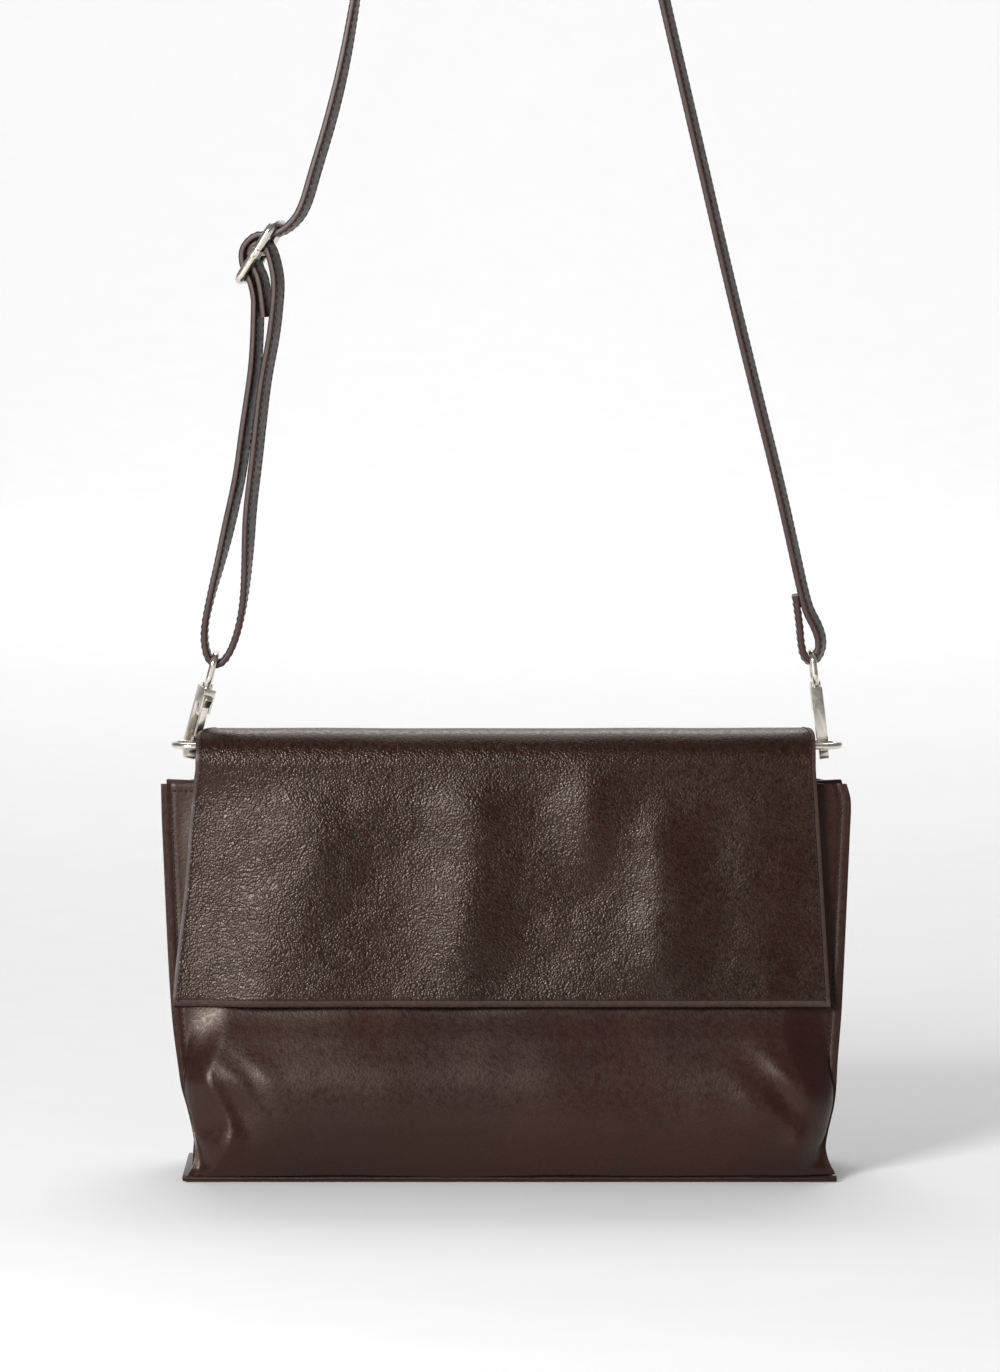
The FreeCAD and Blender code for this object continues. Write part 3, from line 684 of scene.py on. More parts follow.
@dataclass
class Outline:
    """The pouch's stitched side edges and the depth of its panels, in mm by height.

    Attributes:
        left: Distance of the left edge from the middle, by height.
        right: Distance of the right edge, by height.
        front_seam: How far in front of the middle the front seam stands, by height.
        back_seam: How far behind the middle the back seam stands, by height.
    """

    left: list = field(default_factory=lambda: [
        (0.0, 139.5), (3.0, 137.6), (9.0, 134.8), (17.5, 134.6), (30.0, 137.2), (43.0, 140.8), (75.0, 145.0),
        (150.0, 149.0), (170.0, 149.6)])
    right: list = field(default_factory=lambda: [
        (0.0, 142.6), (3.0, 141.6), (9.0, 138.6), (16.0, 137.2), (34.0, 141.0), (55.0, 143.0), (75.0, 144.6),
        (150.0, 148.3), (163.0, 148.6), (170.0, 146.8)])
    front_seam: list = field(default_factory=lambda: [
        (0.0, 35.6), (12.0, 31.0), (30.0, 27.5), (75.0, 22.5), (120.0, 15.5), (170.0, 10.0)])
    back_seam: list = field(default_factory=lambda: [
        (0.0, 35.6), (12.0, 33.0), (75.0, 26.0), (120.0, 20.0), (170.0, 15.0)])

    def half(self, side: Side, z: float) -> float:
        """Distance of a side edge from the middle at a height."""
        return curve_at(self.left if side is Side.LEFT else self.right, z)


@dataclass
class Pouch:
    """The pouch: front leather, folded sides, base, hem, linings and pocket.

    Attributes:
        palette: The finishes.
        outline: Side edges and depths.
        height: Height of the mouth, in mm.
        belly: How far the front leather stands before the middle, by height.
        leather: Leather thickness in mm.
        foot: Height of the front leather's lower edge.
        seam_in: Distance of the side stitches from the edge.
        tuck: How far the side leather's edges sit inside the seams.
        wing_low: Height where the wings' stitches start.
        mouth_in: Distance of the mouth's stitches below its edge.
    """

    palette: Palette
    outline: Outline = field(default_factory=Outline)
    height: float = 170.0
    belly: list = field(default_factory=lambda: [
        (0.0, 36.4), (4.0, 37.6), (14.0, 39.6), (28.0, 40.4), (44.0, 38.2), (60.0, 31.6), (75.0, 24.8),
        (95.0, 23.2), (130.0, 16.6), (170.0, 10.4)])
    leather: float = 2.0
    foot: float = 3.0
    seam_in: float = 4.4
    tuck: float = 2.2
    wing_low: float = 50.0
    mouth_in: float = 3.0

    def relief(self, x: float, z: float, inset: float, rise: float) -> float:
        """How far the front leather's swells and creases stand out.

        Args:
            x: Place across, in mm.
            z: Height, in mm.
            inset: Distance in from the side edge.
            rise: Share of the full belly reached here.

        Returns:
            The height in mm, less than 0 where the leather is drawn in.
        """
        flange = self.flange(z)
        swell = smooth_step(0.0, 25.0, inset - flange) * (
            1.1 * wander(x, 0, z, 46, 3.1) * smooth_step(0, 20, z)
            + 0.45 * wander(x, 0, z, 17, 7.7) * smooth_step(2, 16, z) * (1 - 0.5 * rise))
        corner = math.exp(-((abs(x) - 116) / 15) ** 2 - ((z - 34) / 20) ** 2)
        crease = corner * (
            2.0 * wander(x + z, 1, 0.45 * z, 15, 1.3) + 0.7 * wander(x + 0.6 * z, 1, 0.4 * z, 7, 4.3))
        low_corner = 2.4 * math.exp(-((abs(x) - 126) / 8) ** 2 - ((z - 16) / 7) ** 2)
        groove = 0.4 * math.exp(-((inset - self.seam_in) / 0.7) ** 2) * smooth_step(44, 52, z)
        pinched_foot = 1.3 * smooth_step(self.foot + 3.0, self.foot, z)
        return swell + crease + low_corner - groove - pinched_foot

    def flange(self, z: float) -> float:
        """Width of the flat strip along the side seams, in mm, at a height."""
        return 2.5 + 4.0 * smooth_step(36, 66, z)

    def front_point(self, s: float, t: float) -> Point:
        """A point of the front leather.

        Args:
            s: Across, 0 at the left edge and 1 at the right.
            t: Up, 0 at the base and 1 at the mouth.

        Returns:
            The point in mm.
        """
        z = self.foot + (self.height - self.foot) * t ** CROWDED_ROWS
        u = 2 * s - 1
        u = math.copysign(1 - (1 - abs(u)) ** CROWDED_COLUMNS, u)
        side = Side.LEFT if u < 0 else Side.RIGHT
        half = self.outline.half(side, z)
        seam = curve_at(self.outline.front_seam, z)
        full = curve_at(self.belly, z)
        inset = half * (1 - abs(u))
        flange = self.flange(z)
        roll = 15.0 + 4.0 * math.sin(z / (9.0 + side.value) + side.value) - 6.0 * smooth_step(40, 8, z)
        rise = smooth_step(flange, flange + roll, inset)
        depth = seam + (full - seam) * rise
        lip = smooth_step(4, 22, z) * smooth_step(78, 55, z)
        x = u * half
        outward = lip * (3.0 + 2.6 * smooth_step(58, 32, z)) * math.exp(-((inset - flange - 4.5) / 4.5) ** 2)
        x += math.copysign(outward, u)
        depth += self.relief(x, z, inset, rise)
        return (x, -depth, z + 0.7 * wander(x, 0, 0, 55, 2.9) * smooth_step(14, 3, z))

    def front(self) -> bpy.types.Object:
        """The front leather with its pillow-like lower half."""
        piece = grid_sheet("front_leather", 190, 120, self.front_point)
        thicken(piece, self.leather)
        dress(piece, self.palette.pouch, self.palette.edge)
        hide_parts("front_panel")
        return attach(piece, "pouch")

    def gusset(self, side: Side) -> bpy.types.Object:
        """One side leather, flat at the base and folded inwards towards the mouth."""
        sign = side.value

        def place(s: float, t: float) -> Point:
            """A point of the right-hand or mirrored left-hand side, in mm."""
            z = 1.2 + (self.height - 1.6) * t
            v = 2 * s - 1
            edge = self.outline.half(side, max(z, 15.0) if v > 0 else z) - 1.2
            fold = curve_at([(0.0, 137.5), (40.0, 136.0), (90.0, 132.4), (170.0, 127.6)], z)
            if side is Side.LEFT:
                fold = min(fold, edge - 0.5)
            depth = curve_at(self.outline.front_seam, z) if v < 0 else curve_at(self.outline.back_seam, z)
            depth -= self.tuck
            bend = abs(v) ** 1.6
            x = fold + (edge - fold) * bend
            y = math.copysign(depth * abs(v) ** 0.9, v)
            x += 0.5 * wander(0, y, z, 20, sign) * (1 - bend)
            return (sign * x, y, z)

        def turned(s: float, t: float) -> Point:
            """The same point, taken so that the sheet's front faces outwards."""
            return place(s if sign > 0 else 1 - s, t)

        piece = grid_sheet(f"side_leather_{side.word}", 60, 60, turned)
        thicken(piece, 1.6)
        dress(piece, self.palette.pouch, self.palette.edge)
        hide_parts(f"gusset_{side.word}")
        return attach(piece, "pouch")

    def base(self) -> None:
        """The base leather and its two turned edges."""
        piece = refined("base_panel", "base_leather", 0.8, 3)
        dress(piece, self.palette.pouch)
        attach(piece, "pouch")
        for word, sign in (("front", -1), ("back", 1)):
            low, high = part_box(f"base_piping_{word}")
            y = (low[1] + high[1]) / 2
            ends = (-0.1385, 0.1420) if sign < 0 else (-0.1345, 0.1370)
            line = []
            for t in shares(90):
                x = ends[0] + (ends[1] - ends[0]) * t
                drift = 0.35 * MM * wander(x / MM, 0, 0, 40, sign)
                line.append(Vector((x, y + drift, 1.5 * MM + 0.2 * MM * wander(x / MM, 5, 0, 30, sign))))
            rope = tube(f"base_edge_{word}", line, 1.35 * MM, 12)
            dress(rope, self.palette.pouch)
            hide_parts(f"base_piping_{word}")
            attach(rope, "pouch")

    def seam_rows(self) -> None:
        """Stitches down both wings at the front, and along the mouth."""
        for side in Side:
            line = []
            for share in shares(60):
                z = self.wing_low + (self.height - 4.0 - self.wing_low) * share
                x = side.value * (self.outline.half(side, z) - self.seam_in)
                line.append(Vector((x, 0.3 - curve_at(self.outline.front_seam, z), z)) * MM)
            row = stitches(f"wing_stitches_{side.word}", line, [Vector((0, -1, 0.15))] * len(line))
            self.sew(row)
        line = []
        row_z = self.height - self.mouth_in
        up = ((row_z - self.foot) / (self.height - self.foot)) ** (1 / CROWDED_ROWS)
        for share in shares(140):
            x, y, _ = self.front_point(0.03 + 0.94 * share, up)
            line.append(Vector((x, y - 0.05, row_z)) * MM)
        self.sew(stitches("mouth_stitches", line, [Vector((0, -1, 0.15))] * len(line)))

    def sew(self, row: bpy.types.Object) -> None:
        """Dresses a row of stitches and fixes it to the pouch."""
        dress(row, self.palette.thread)
        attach(row, "pouch")

    def insides(self) -> None:
        """Linings, board, hem, pocket and zip, each softened from its flat cut."""
        cloth = self.palette.lining
        for node, material, slot in (
            ("front_lining", cloth, "lining_cloth"), ("back_lining", cloth, "lining_cloth"),
            ("base_lining", cloth, "lining_cloth"), ("gusset_lining_left", cloth, "lining_cloth"),
            ("gusset_lining_right", cloth, "lining_cloth"), ("pocket_bag", cloth, "lining_cloth"),
            ("zip_tape", self.palette.tape, "lining_cloth"), ("front_hem", self.palette.suede, "leather"),
            ("ring_tab_left", self.palette.strap, "leather"),
            ("ring_tab_right", self.palette.strap, "leather"),
            ("base_board", self.palette.board, "board"),
        ):
            piece = refined(node, f"{node}_soft", 0.25, 2)
            dress(piece, material)
            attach(piece, "pouch")

    def build(self) -> None:
        """Builds the whole pouch."""
        self.front()
        for side in Side:
            self.gusset(side)
        self.base()
        self.seam_rows()
        self.insides()
        LOG.info("pouch built")


def tube(name: str, line: Sequence[Vector], radius: float, sides: int) -> bpy.types.Object:
    """A round cord of leather along a line, closed at both ends.

    Args:
        name: The piece's name.
        line: Its middle line, in metres.
        radius: Its radius, in metres.
        sides: Faces round it.

    Returns:
        The piece.
    """
    outline = [(math.cos(2 * math.pi * i / sides) * radius, math.sin(2 * math.pi * i / sides) * radius)
               for i in range(sides)]
    return section_along(name, line, outline)


def across_and_out(line: Sequence[Vector], i: int, twist: Twist = None) -> tuple[Vector, Vector]:
    """Directions across and out of a strip at one point of its line.

    Args:
        line: The middle line.
        i: The point's number.
        twist: Turn about the line in radians, from the share of the line gone.

    Returns:
        (across, out), each of length 1, with across held near the width's way.
    """
    last = len(line) - 1
    ahead = (line[min(last, i + 1)] - line[max(0, i - 1)]).normalized()
    across = (WIDTH_WAY - ahead * WIDTH_WAY.dot(ahead)).normalized()
    if twist:
        across = Matrix.Rotation(twist(i / last), 3, ahead) @ across
    return across, ahead.cross(across).normalized()


def section_along(name: str, line: Sequence[Vector], section: Stops, twist: Twist = None) -> bpy.types.Object:
    """A closed section carried along a line.

    Args:
        name: The piece's name.
        line: The middle line, in metres.
        section: Its outline as (across, out) pairs, in metres.
        twist: Turn about the line in radians, from the share of the line gone.

    Returns:
        The piece, closed at both ends.
    """
    mesh = bmesh.new()
    rings = []
    for i, point in enumerate(line):
        across, out = across_and_out(line, i, twist)
        rings.append([mesh.verts.new(point + across * a + out * b) for a, b in section])
    join_rings(mesh, rings)
    return piece_from(name, mesh, 45)


# ---------------------------------------------------------------- flap


@dataclass
class Flap:
    """The back leather, which rolls over the top and hangs down in front as the flap.

    Attributes:
        palette: The finishes.
        outline: The pouch's side edges.
        fold_z: Height of the fold's middle, in mm.
        fold_r: The fold's outer radius.
        low_z: Height of the flap's lower edge.
        low_y: How far in front of the middle that edge hangs.
        hang_top: Its left and right edges' distances from the middle, just under the fold in front.
        hang_gain: How much those grow down to the lower edge.
        behind: The same distances behind the fold, where the sheet is narrow to let the hooks past.
        bend: Two shares of the fold's radius; not used.
        row_in: Distance of the side stitches from the edge, as a share of the width.
        row_span: Where those stitches start and end along the sheet, as shares.
        lining_in: Distance of the lining behind the leather's face.
        lining_margin: Distance of the lining's sides from the leather's, as a share of the width.
        lining_span: Where the lining starts and ends along the sheet, as shares.
        swells: Soft swells down the flap: middle x, drift of it downwards, half width and height in mm, and the
            shares of the drop where it ends and starts.
    """

    palette: Palette
    outline: Outline
    fold_z: float = 177.0
    fold_r: float = 16.2
    low_z: float = 75.0
    low_y: float = 29.8
    hang_top: tuple[float, float] = (134.4, 133.2)
    hang_gain: tuple[float, float] = (9.9, 6.2)
    behind: tuple[float, float] = (127.3, 129.6)
    bend: tuple[float, float] = (0.98, 0.9)
    row_in: float = 0.0082
    row_span: tuple[float, float] = (0.57, 0.995)
    lining_in: float = 1.95
    lining_margin: float = 0.014
    lining_span: tuple[float, float] = (0.632, 0.989)
    swells: list = field(default_factory=lambda: [
        (-84.0, -6.0, 24.0, 2.6, 1.25, 0.05), (-12.0, -8.0, 17.0, 3.4, 1.1, 0.02),
        (34.0, 4.0, 12.0, 2.6, 0.6, -0.1), (64.0, 6.0, 18.0, 2.6, 1.1, 0.1), (106.0, 0.0, 16.0, 1.4, 1.2, 0.0)])

    @property
    def lengths(self) -> Point:
        """Lengths of the sheet up the back, over the fold and down the front, in mm."""
        return (self.fold_z - 1.5, math.pi * self.fold_r, self.fold_z - self.low_z)

    def profile(self, t: float) -> tuple[float, float]:
        """The sheet's outside from the base at the back, over the fold, to the lower front edge.

        Args:
            t: Share of the length, 0 to 1.

        Returns:
            (y, z) in mm.
        """
        back, arc, front = self.lengths
        at = t * (back + arc + front)
        if at < back:
            z = 1.5 + at
            return (curve_at([(0, 35.8), (20, 35.6), (60, 32.0), (120, 23.2), (177, 16.2)], z), z)
        if at < back + arc:
            angle = (at - back) / self.fold_r
            return (self.fold_r * math.cos(angle), self.fold_z + self.fold_r * math.sin(angle))
        down = at - back - arc
        share = down / front
        y = self.fold_r + (self.low_y - self.fold_r) * (share - 0.10 * math.sin(math.pi * share))
        return (-y, self.fold_z - down)

    def sides(self, y: float, z: float) -> tuple[float, float]:
        """Distances of the sheet's left and right edges from the middle.

        Args:
            y: Place from front to back, in mm.
            z: Height, in mm.

        Returns:
            (left, right) in mm.
        """
        if y > 0 and z < self.fold_z:
            ease = smooth_step(166.5, 171.5, z)
            wide = [self.outline.half(side, max(z, 15.0)) for side in Side]
            left, right = (w + (narrow - w) * ease for w, narrow in zip(wide, self.behind))
            return (left, right)
        down = max(0.0, (self.fold_z - z) / (self.fold_z - self.low_z)) if y < 0 else 0.0
        hook_room = smooth_step(-10.0, 7.0, y)
        left, right = (
            top + gain * down ** 0.95 - (top - narrow) * hook_room
            for top, gain, narrow in zip(self.hang_top, self.hang_gain, self.behind))
        return (left + 0.3 * math.sin(down * 9), right)

    def edge_paint_and_sheen_band(self, middle: Vector) -> bool:
        """True on the flap's painted sides, and on a 2.4 mm band up its rolled lower edge whose lighter edge
        colour is a painted highlight; from a point in mm.
        """
        if middle.y > 0:
            return False
        left, right = self.sides(middle.y, middle.z)
        # The lower 2.4 mm is a painted highlight along the rolled edge, in the edge colour; the sides are real
        # edge paint.
        return middle.z < self.low_z + 2.4 or middle.x < 1.1 - left or middle.x > right - 1.1

    def point(self, s: float, t: float) -> Point:
        """A point of the sheet.

        Args:
            s: Across, 0 at the right edge and 1 at the left, seen from the front.
            t: Along the profile.

        Returns:
            The point in mm.
        """
        y, z = self.profile(t)
        back, arc, front = self.lengths
        over = t * (back + arc + front) - back
        left, right = self.sides(y, z)
        x = right + (-left - right) * s
        if over > arc * 0.75:
            down = max(0.0, (self.fold_z + 8 - z) / 110)
            soft = smooth_step(0.0, 0.22, down)
            for centre, drift, width, height, end, start in self.swells:
                share = (down - start) / (end - start)
                reach = smooth_step(0.0, 0.25, share) * smooth_step(1.0, 0.6, share)
                y -= soft * reach * height * math.exp(-((x - centre - drift * down) / width) ** 2)
            y += 3.0 * soft * smooth_step(-92, -140, x) ** 1.5
            y -= 0.9 * wander(x, 0, z, 30, 5.2) * soft
            y -= 0.3 * wander(x, 0, z, 12, 9.1) * soft
            y += 1.6 * smooth_step(self.low_z + 3.2, self.low_z, z) ** 2
        elif over < 0:
            y += 0.8 * wander(x, 3, z, 50, 2.2) * smooth_step(0, 20, z) * smooth_step(177, 150, z)
        else:
            z += 0.45 * wander(x, 0, 0, 45, 4.4)
        return (x, y, z)

    def drawn(self, place: Vector) -> float:
        """How tight the leather is drawn: over the fold, at its lower edge, behind, and towards the right."""
        lower_edge = smooth_step(80, 77, place.z) * (place.y < 0)
        behind = 0.8 * (place.y > 0)
        to_right = 0.7 * smooth_step(30, 125, place.x + 0.2 * place.z)
        return max(smooth_step(185, 191, place.z), lower_edge, behind, to_right)

    def sheet(self) -> bpy.types.Object:
        """The leather in one piece, from the base at the back over the fold to the flap's lower edge."""
        piece = grid_sheet("back_and_flap_leather", 170, 230, self.point)
        thicken(piece, 1.8)
        draw_smooth(piece, self.drawn)
        dress(piece, self.palette.flap, self.palette.edge)
        # The painted sides take the edge colour, and so does a band up the lower edge, where it is a painted
        # highlight on the rolled edge.
        for face in piece.data.polygons:
            if self.edge_paint_and_sheen_band(face.center / MM):
                face.material_index = 1
        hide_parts("back_panel", "flap_leather", "fold_roll")
        return self.over_fold(piece)

    def over_fold(self, piece: bpy.types.Object) -> bpy.types.Object:
        """Bakes a piece's placement into its points."""
        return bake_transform(piece)

    def side_rows(self) -> None:
        """Stitches down both sides of the flap, over the fold."""
        for word, s in (("left", 1.0), ("right", 0.0)):
            s += self.row_in if s < 0.5 else -self.row_in
            line, normals = [], []
            for share in shares(120):
                t = self.row_span[0] + (self.row_span[1] - self.row_span[0]) * share
                here = Vector(self.point(s, t))
                ahead = Vector(self.point(s, min(1.0, t + SLOPE_STEP))) - Vector(self.point(s, t - SLOPE_STEP))
                normal = Vector((1, 0, 0)).cross(ahead).normalized()
                line.append(here * MM)
                normals.append(-normal if normal.y > 0 and t > 0.65 else normal)
            row = stitches(f"flap_stitches_{word}", line, normals, 2.1, 0.4)
            dress(row, self.palette.thread)
            self.over_fold(row)

    def lining(self) -> None:
        """The thin leather under the flap, close behind the outer leather."""

        def place(s: float, t: float) -> Point:
            """A point of the lining, from a point of the leather in front of it."""
            s = self.lining_margin + (1 - 2 * self.lining_margin) * s
            t = self.lining_span[0] + (self.lining_span[1] - self.lining_span[0]) * t
            here = Vector(self.point(s, t))
            ahead = Vector(self.point(s, t + SLOPE_STEP)) - Vector(self.point(s, t - SLOPE_STEP))
            beside = Vector(self.point(s + SLOPE_STEP, t)) - Vector(self.point(s - SLOPE_STEP, t))
            inward = ahead.cross(beside).normalized()
            if inward.y < 0:
                inward = -inward
            return tuple(here + inward * self.lining_in)

        piece = grid_sheet("flap_lining_soft", 90, 70, place)
        thicken(piece, 0.7)
        dress(piece, self.palette.suede, self.palette.edge)
        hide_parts("flap_lining")
        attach(piece, "flap")

    def build(self) -> None:
        """Builds the sheet, its stitches and its lining."""
        self.sheet()
        self.side_rows()
        self.lining()
        LOG.info("flap built")


# ---------------------------------------------------------------- strap


@dataclass
class Strap:
    """The flat strap: from the right-hand eye, over the shoulder, to the slider and the left-hand loop.

    Attributes:
        palette: The finishes.
        width: Its width, in mm.
        thickness: Its thickness.
        stitch_in: Distance of its stitches from its edges.
        long_route: Middle line from the sewn end at the right to the slider, as (x, z) in mm.
        loop_route: Middle line from the slider round the left-hand eye and back to the slider's bar.
    """

    palette: Palette
    width: float = 15.0
    thickness: float = 2.6
    stitch_in: float = 1.8
    long_route: list = field(default_factory=lambda: [
        (125.0, 250.5), (126.9, 238), (127.3, 231.4), (128.5, 224.2), (131.6, 221.2), (134.9, 223.4),
        (136.6, 229.6), (134.6, 236.5), (130.4, 244), (127.6, 255), (118.8, 295), (108.2, 337), (96.1, 386),
        (83.3, 441), (61.0, 536), (47.0, 600), (33.0, 672), (22.0, 722), (2.0, 742), (-20.0, 728), (-36.0, 686),
        (-48.0, 622), (-58.0, 556), (-65.4, 506), (-70.1, 478.4), (-75.8, 455), (-82.3, 434), (-86.8, 418),
        (-92.2, 410.6), (-99.6, 406.2), (-107.2, 407.0), (-113.6, 400.8), (-112.8, 392), (-108.6, 385.5),
        (-107.7, 378)])
    loop_route: list = field(default_factory=lambda: [
        (-107.7, 378), (-108.0, 361.5), (-109.3, 346), (-113.0, 323), (-115.6, 303), (-119.2, 287),
        (-123.8, 267), (-128.6, 249), (-131.6, 235), (-130.4, 224.0), (-126.2, 219.7), (-121.6, 222.6),
        (-117.3, 232), (-114.0, 247), (-112.3, 267), (-111.2, 288), (-109.0, 305), (-107.0, 323),
        (-104.6, 344), (-100.8, 362), (-99.0, 377.8), (-98.6, 387), (-100.6, 396.5), (-103.0, 402.3),
        (-106.9, 403.4), (-110.2, 399.4), (-108.5, 393.2), (-104.8, 386), (-103.5, 371)])

    def section(self) -> list[tuple[float, float]]:
        """The strip's outline, with rounded corners, as (across, out) in metres."""
        half_w = self.width / 2 * MM
        half_t = self.thickness / 2 * MM
        r = 0.7 * MM
        points = []
        for cx, cz, start in ((1, 1, 0), (-1, 1, 90), (-1, -1, 180), (1, -1, 270)):
            for k in range(4):
                a = math.radians(start + 30 * k)
                points.append((cx * (half_w - r) + r * math.cos(a), cz * (half_t - r) + r * math.sin(a)))
        return points

    def strip(self, name: str, route: Stops, twist: Twist) -> tuple[bpy.types.Object, list[Vector]]:
        """One stretch of strap.

        Args:
            name: The stretch's name.
            route: Its control points, as (x, z) in mm.
            twist: Its turn about its own line, from the share of length gone.

        Returns:
            The strip, and the points of its middle line.
        """
        line = route_points(name, [(x * MM, STRAP_Y * MM, z * MM) for x, z in route])
        piece = section_along(name, line, self.section(), twist)
        dress(piece, self.palette.strap, self.palette.edge)
        for face in piece.data.polygons:
            face.material_index = 1 if abs(face.normal.y) > 0.8 else 0
        return piece, line

    def edge_rows(self, name: str, line: Sequence[Vector], twist: Twist) -> list[bpy.types.Object]:
        """Stitches along both edges, on both faces.

        Args:
            name: The stretch's name.
            line: Points of its middle line.
            twist: Its turn about its own line.

        Returns:
            The four rows.
        """
        rows = []
        for number, (edge, face) in enumerate(((-1, 1), (-1, -1), (1, 1), (1, -1))):
            path, normals = [], []
            for i, point in enumerate(line):
                across, out = across_and_out(line, i, twist)
                aside = across * (edge * (self.width / 2 - self.stitch_in) * MM)
                path.append(point + aside + out * (face * self.thickness / 2 * MM))
                normals.append(out * face)
            rows.append(stitches(f"{name}_stitches_{number + 1}", path, normals, 3.0, 0.22))
        return rows

    def long_twist(self, t: float) -> float:
        """Turn of the long stretch about its own line, which shows its face a little at the right."""
        return math.radians(-12) * smooth_step(0.05, 0.14, t) * smooth_step(0.62, 0.50, t)

    def stretch(
        self, name: str, route: Stops, twist: Twist, nodes: Sequence[str]
    ) -> None:
        """Builds and stitches one stretch, turns its left-hand run, and hides the CAD nodes that it stands for.

        Args:
            name: The stretch's name.
            route: Its control points, as (x, z) in mm.
            twist: Its turn about its own line.
            nodes: The CAD nodes that it stands for.
        """
        piece, line = self.strip(name, route, twist)
        rows = self.edge_rows(name, line, twist)
        for each in [piece] + rows:
            turn_piece(each)
        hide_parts(*nodes)
        for each in [piece] + rows:
            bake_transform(each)
        for row in rows:
            dress(row, self.palette.thread)

    def build(self) -> None:
        """Builds both stretches: over the shoulder, and from the slider round the left-hand eye and back."""
        self.stretch(
            "strap_long", self.long_route, self.long_twist, ("strap_shoulder", "strap_upper", "strap_wrap"))
        self.stretch(
            "strap_loop_leather", self.loop_route, None, ("strap_loop", "strap_turn_back"))
        LOG.info("strap built")


# ---------------------------------------------------------------- fittings


@dataclass
class Fittings:
    """The metal: D-rings, swivel hooks, slider, snap and zip.

    Attributes:
        palette: The finishes.
        wire_gain: How much the slider's wire is thickened all round, in mm.
        bodies: Each CAD node that is refined, with its body and the rounding of its edges in mm.
    """

    palette: Palette
    wire_gain: float = 0.4
    bodies: dict = field(default_factory=lambda: {
        "hook_left": ("hook_left", 0.55), "hook_right": ("hook_right", 0.55),
        "gate_left": ("gate_left", 0.35), "gate_right": ("gate_right", 0.35),
        "gate_pin_left": ("hook_left", 0.15), "gate_pin_right": ("hook_right", 0.15),
        "flap_snap": ("flap", 0.0), "front_snap": ("pouch", 0.0),
        "zip_slider": ("zip_slider", 0.2), "zip_puller": ("zip_puller", 0.3)})

    def build(self) -> None:
        """Rounds the cast pieces, and dresses the drawn wire ones."""
        for node, (body, bevel) in self.bodies.items():
            piece = refined(node, f"{node}_cast", bevel)
            is_zip = node.startswith("zip")
            dress(piece, self.palette.zip_metal if is_zip else self.palette.nickel)
            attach(piece, body)
        for node in ("slider_frame", "slider_bar"):
            piece = refined(node, f"{node}_cast", 0.0)
            for vertex in piece.data.vertices:
                vertex.co += vertex.normal * self.wire_gain * MM
            turn_piece(piece)
            dress(piece, self.palette.nickel)
            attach(piece, "slider")
        for wire in ("d_ring", "eye", "gate_spring"):
            for side in Side:
                dress(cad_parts[f"{wire}_{side.word}"], self.palette.nickel)
        dress(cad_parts["zip_teeth"], self.palette.zip_metal)
        LOG.info("fittings built")


# ---------------------------------------------------------------- studio


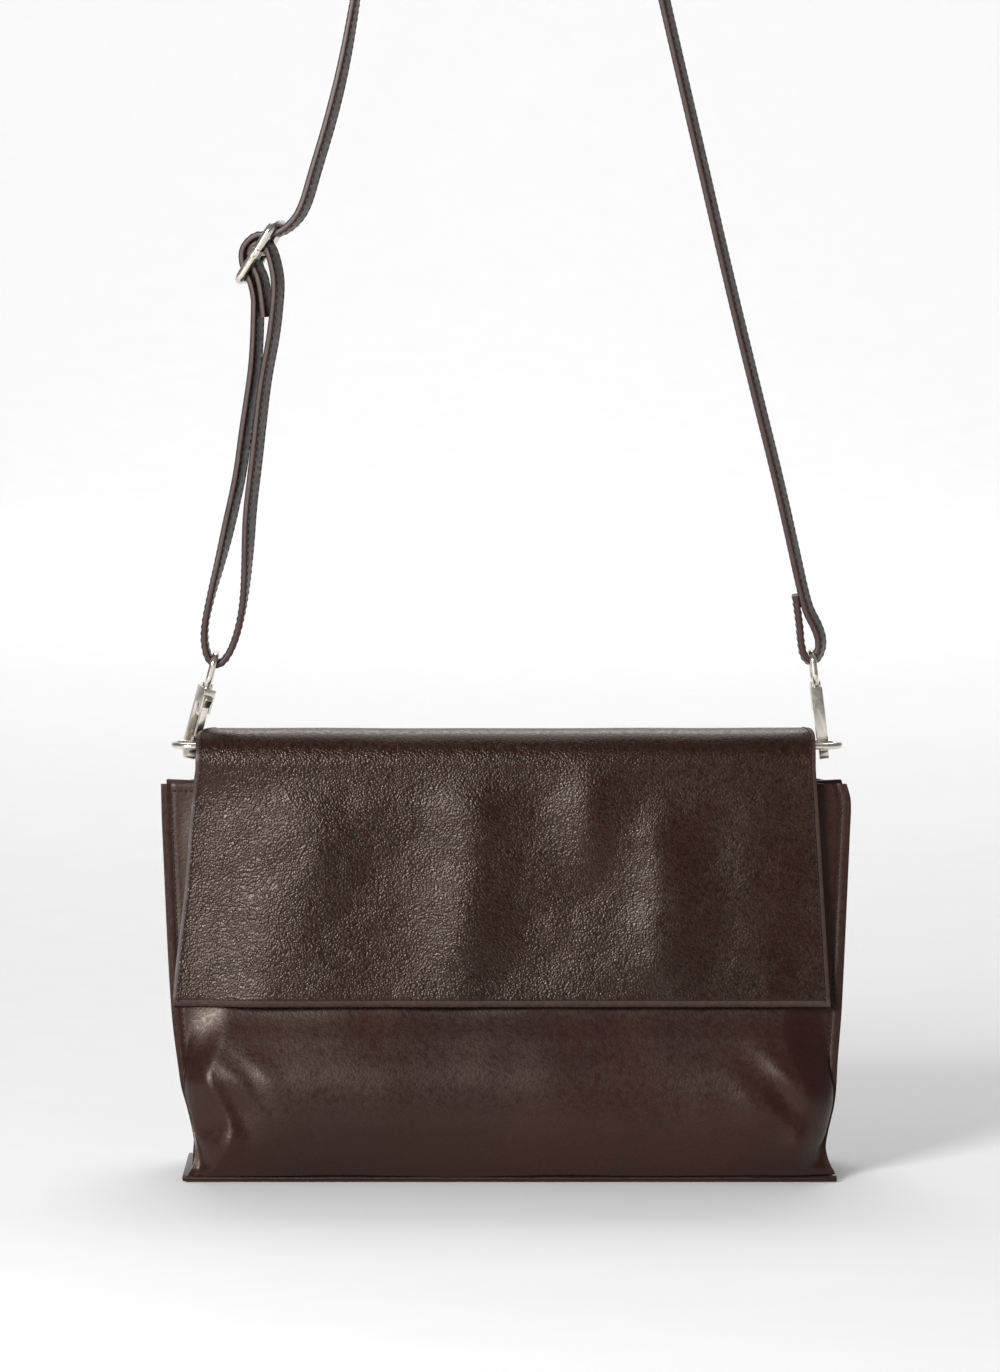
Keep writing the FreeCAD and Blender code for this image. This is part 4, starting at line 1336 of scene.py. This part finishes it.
@dataclass
class Studio:
    """A pale seamless floor, three soft lights and a long-lens camera.

    Attributes:
        frame_width: Width seen at the object, in metres.
        middle: The point at the picture's centre.
        distance: Camera distance, in metres.
        elevation: Camera height above level, in degrees.
        tall: The picture's height over its width.
        floor: The paper's width, its length, and how far it reaches in front, in mm.
        sweep: Where the paper starts to rise behind the object, and its radius, in mm.
    """

    frame_width: float = 0.433
    middle: Point = (-0.003, 0.0, 0.2115)
    distance: float = 3.2
    elevation: float = 5.0
    tall: float = 1.372
    floor: Point = (16000.0, 15000.0, 6000.0)
    sweep: tuple[float, float] = (4500.0, 1500.0)

    def camera(self) -> None:
        """Sets the camera straight in front, a little above level."""
        data = bpy.data.cameras.new("camera")
        data.lens = data.sensor_width * self.distance / (self.frame_width * self.tall)
        data.clip_end = 50
        camera = bpy.data.objects.new("camera", data)
        bpy.context.collection.objects.link(camera)
        tilt = math.radians(self.elevation)
        camera.location = Vector(self.middle) + Vector((0, -math.cos(tilt), math.sin(tilt))) * self.distance
        camera.rotation_euler = (math.radians(90) - tilt, 0, 0)
        bpy.context.scene.camera = camera

    def backdrop(self) -> None:
        """A floor that sweeps up behind the object."""

        def place(s: float, t: float) -> Point:
            """A point of the paper, in mm."""
            width, length, front = self.floor
            start, radius = self.sweep
            x = (s - 0.5) * width
            along = t * length - front
            if along < start:
                return (x, along, 0.0)
            angle = min(math.pi / 2, (along - start) / radius)
            up = max(0.0, along - start - radius * math.pi / 2)
            return (x, start + radius * math.sin(angle), radius * (1 - math.cos(angle)) + up)

        floor = grid_sheet("studio_floor", 4, 90, place)
        smooth(floor, 60)
        n = Nodes("seamless_paper")
        here = n.here()
        fibre = n.add("ShaderNodeTexNoise", {"Vector": here, "Scale": 30.0, "Detail": 2.0})
        n.set("Base Color", n.ramp(
            fibre.outputs["Fac"], [(0.3, grey(0.94)), (0.7, grey(0.95))]))
        n.set("Roughness", 0.9)
        n.set("Specular IOR Level", 0.1)
        dress(floor, n.material)

    def light(
        self, name: str, place: Point, size: float, power: float, aim: Point = (0.0, 0.0, 0.15)
    ) -> None:
        """One square soft light.

        Args:
            name: The light's name.
            place: Where it stands, in metres.
            size: Its side, in metres.
            power: Its power in watts.
            aim: The point it faces, in metres.
        """
        data = bpy.data.lights.new(name, "AREA")
        data.size = size
        data.energy = power
        lamp = bpy.data.objects.new(name, data)
        bpy.context.collection.objects.link(lamp)
        lamp.location = place
        lamp.rotation_euler = (Vector(aim) - Vector(place)).to_track_quat("-Z", "Y").to_euler()

    def build(self) -> None:
        """Builds the whole studio."""
        self.camera()
        self.backdrop()
        world = bpy.data.worlds.new("studio_air")
        world.use_nodes = True
        world.node_tree.nodes["Background"].inputs["Color"].default_value = grey(1.0)
        world.node_tree.nodes["Background"].inputs["Strength"].default_value = 0.2
        bpy.context.scene.world = world
        self.light("key", (-0.95, -1.7, 0.95), 0.6, 39.0)
        self.light("backdrop_glow", (0.0, 3.4, 3.6), 3.0, 115.0, (0.0, 4.2, 0.4))
        self.light("floor_glow", (0.2, 0.9, 2.4), 1.6, 12.0, (0.1, 0.2, 0.0))
        bpy.context.scene.view_settings.view_transform = "Standard"
        LOG.info("studio built")


def main() -> None:
    """Builds every piece in order."""
    logging.basicConfig(level=logging.INFO, format="%(name)s: %(message)s")
    Studio().build()
    palette = Palette()
    Strap(palette).build()
    pouch = Pouch(palette)
    pouch.build()
    Flap(palette, pouch.outline).build()
    Fittings(palette).build()


if __name__ == "__main__":
    main()
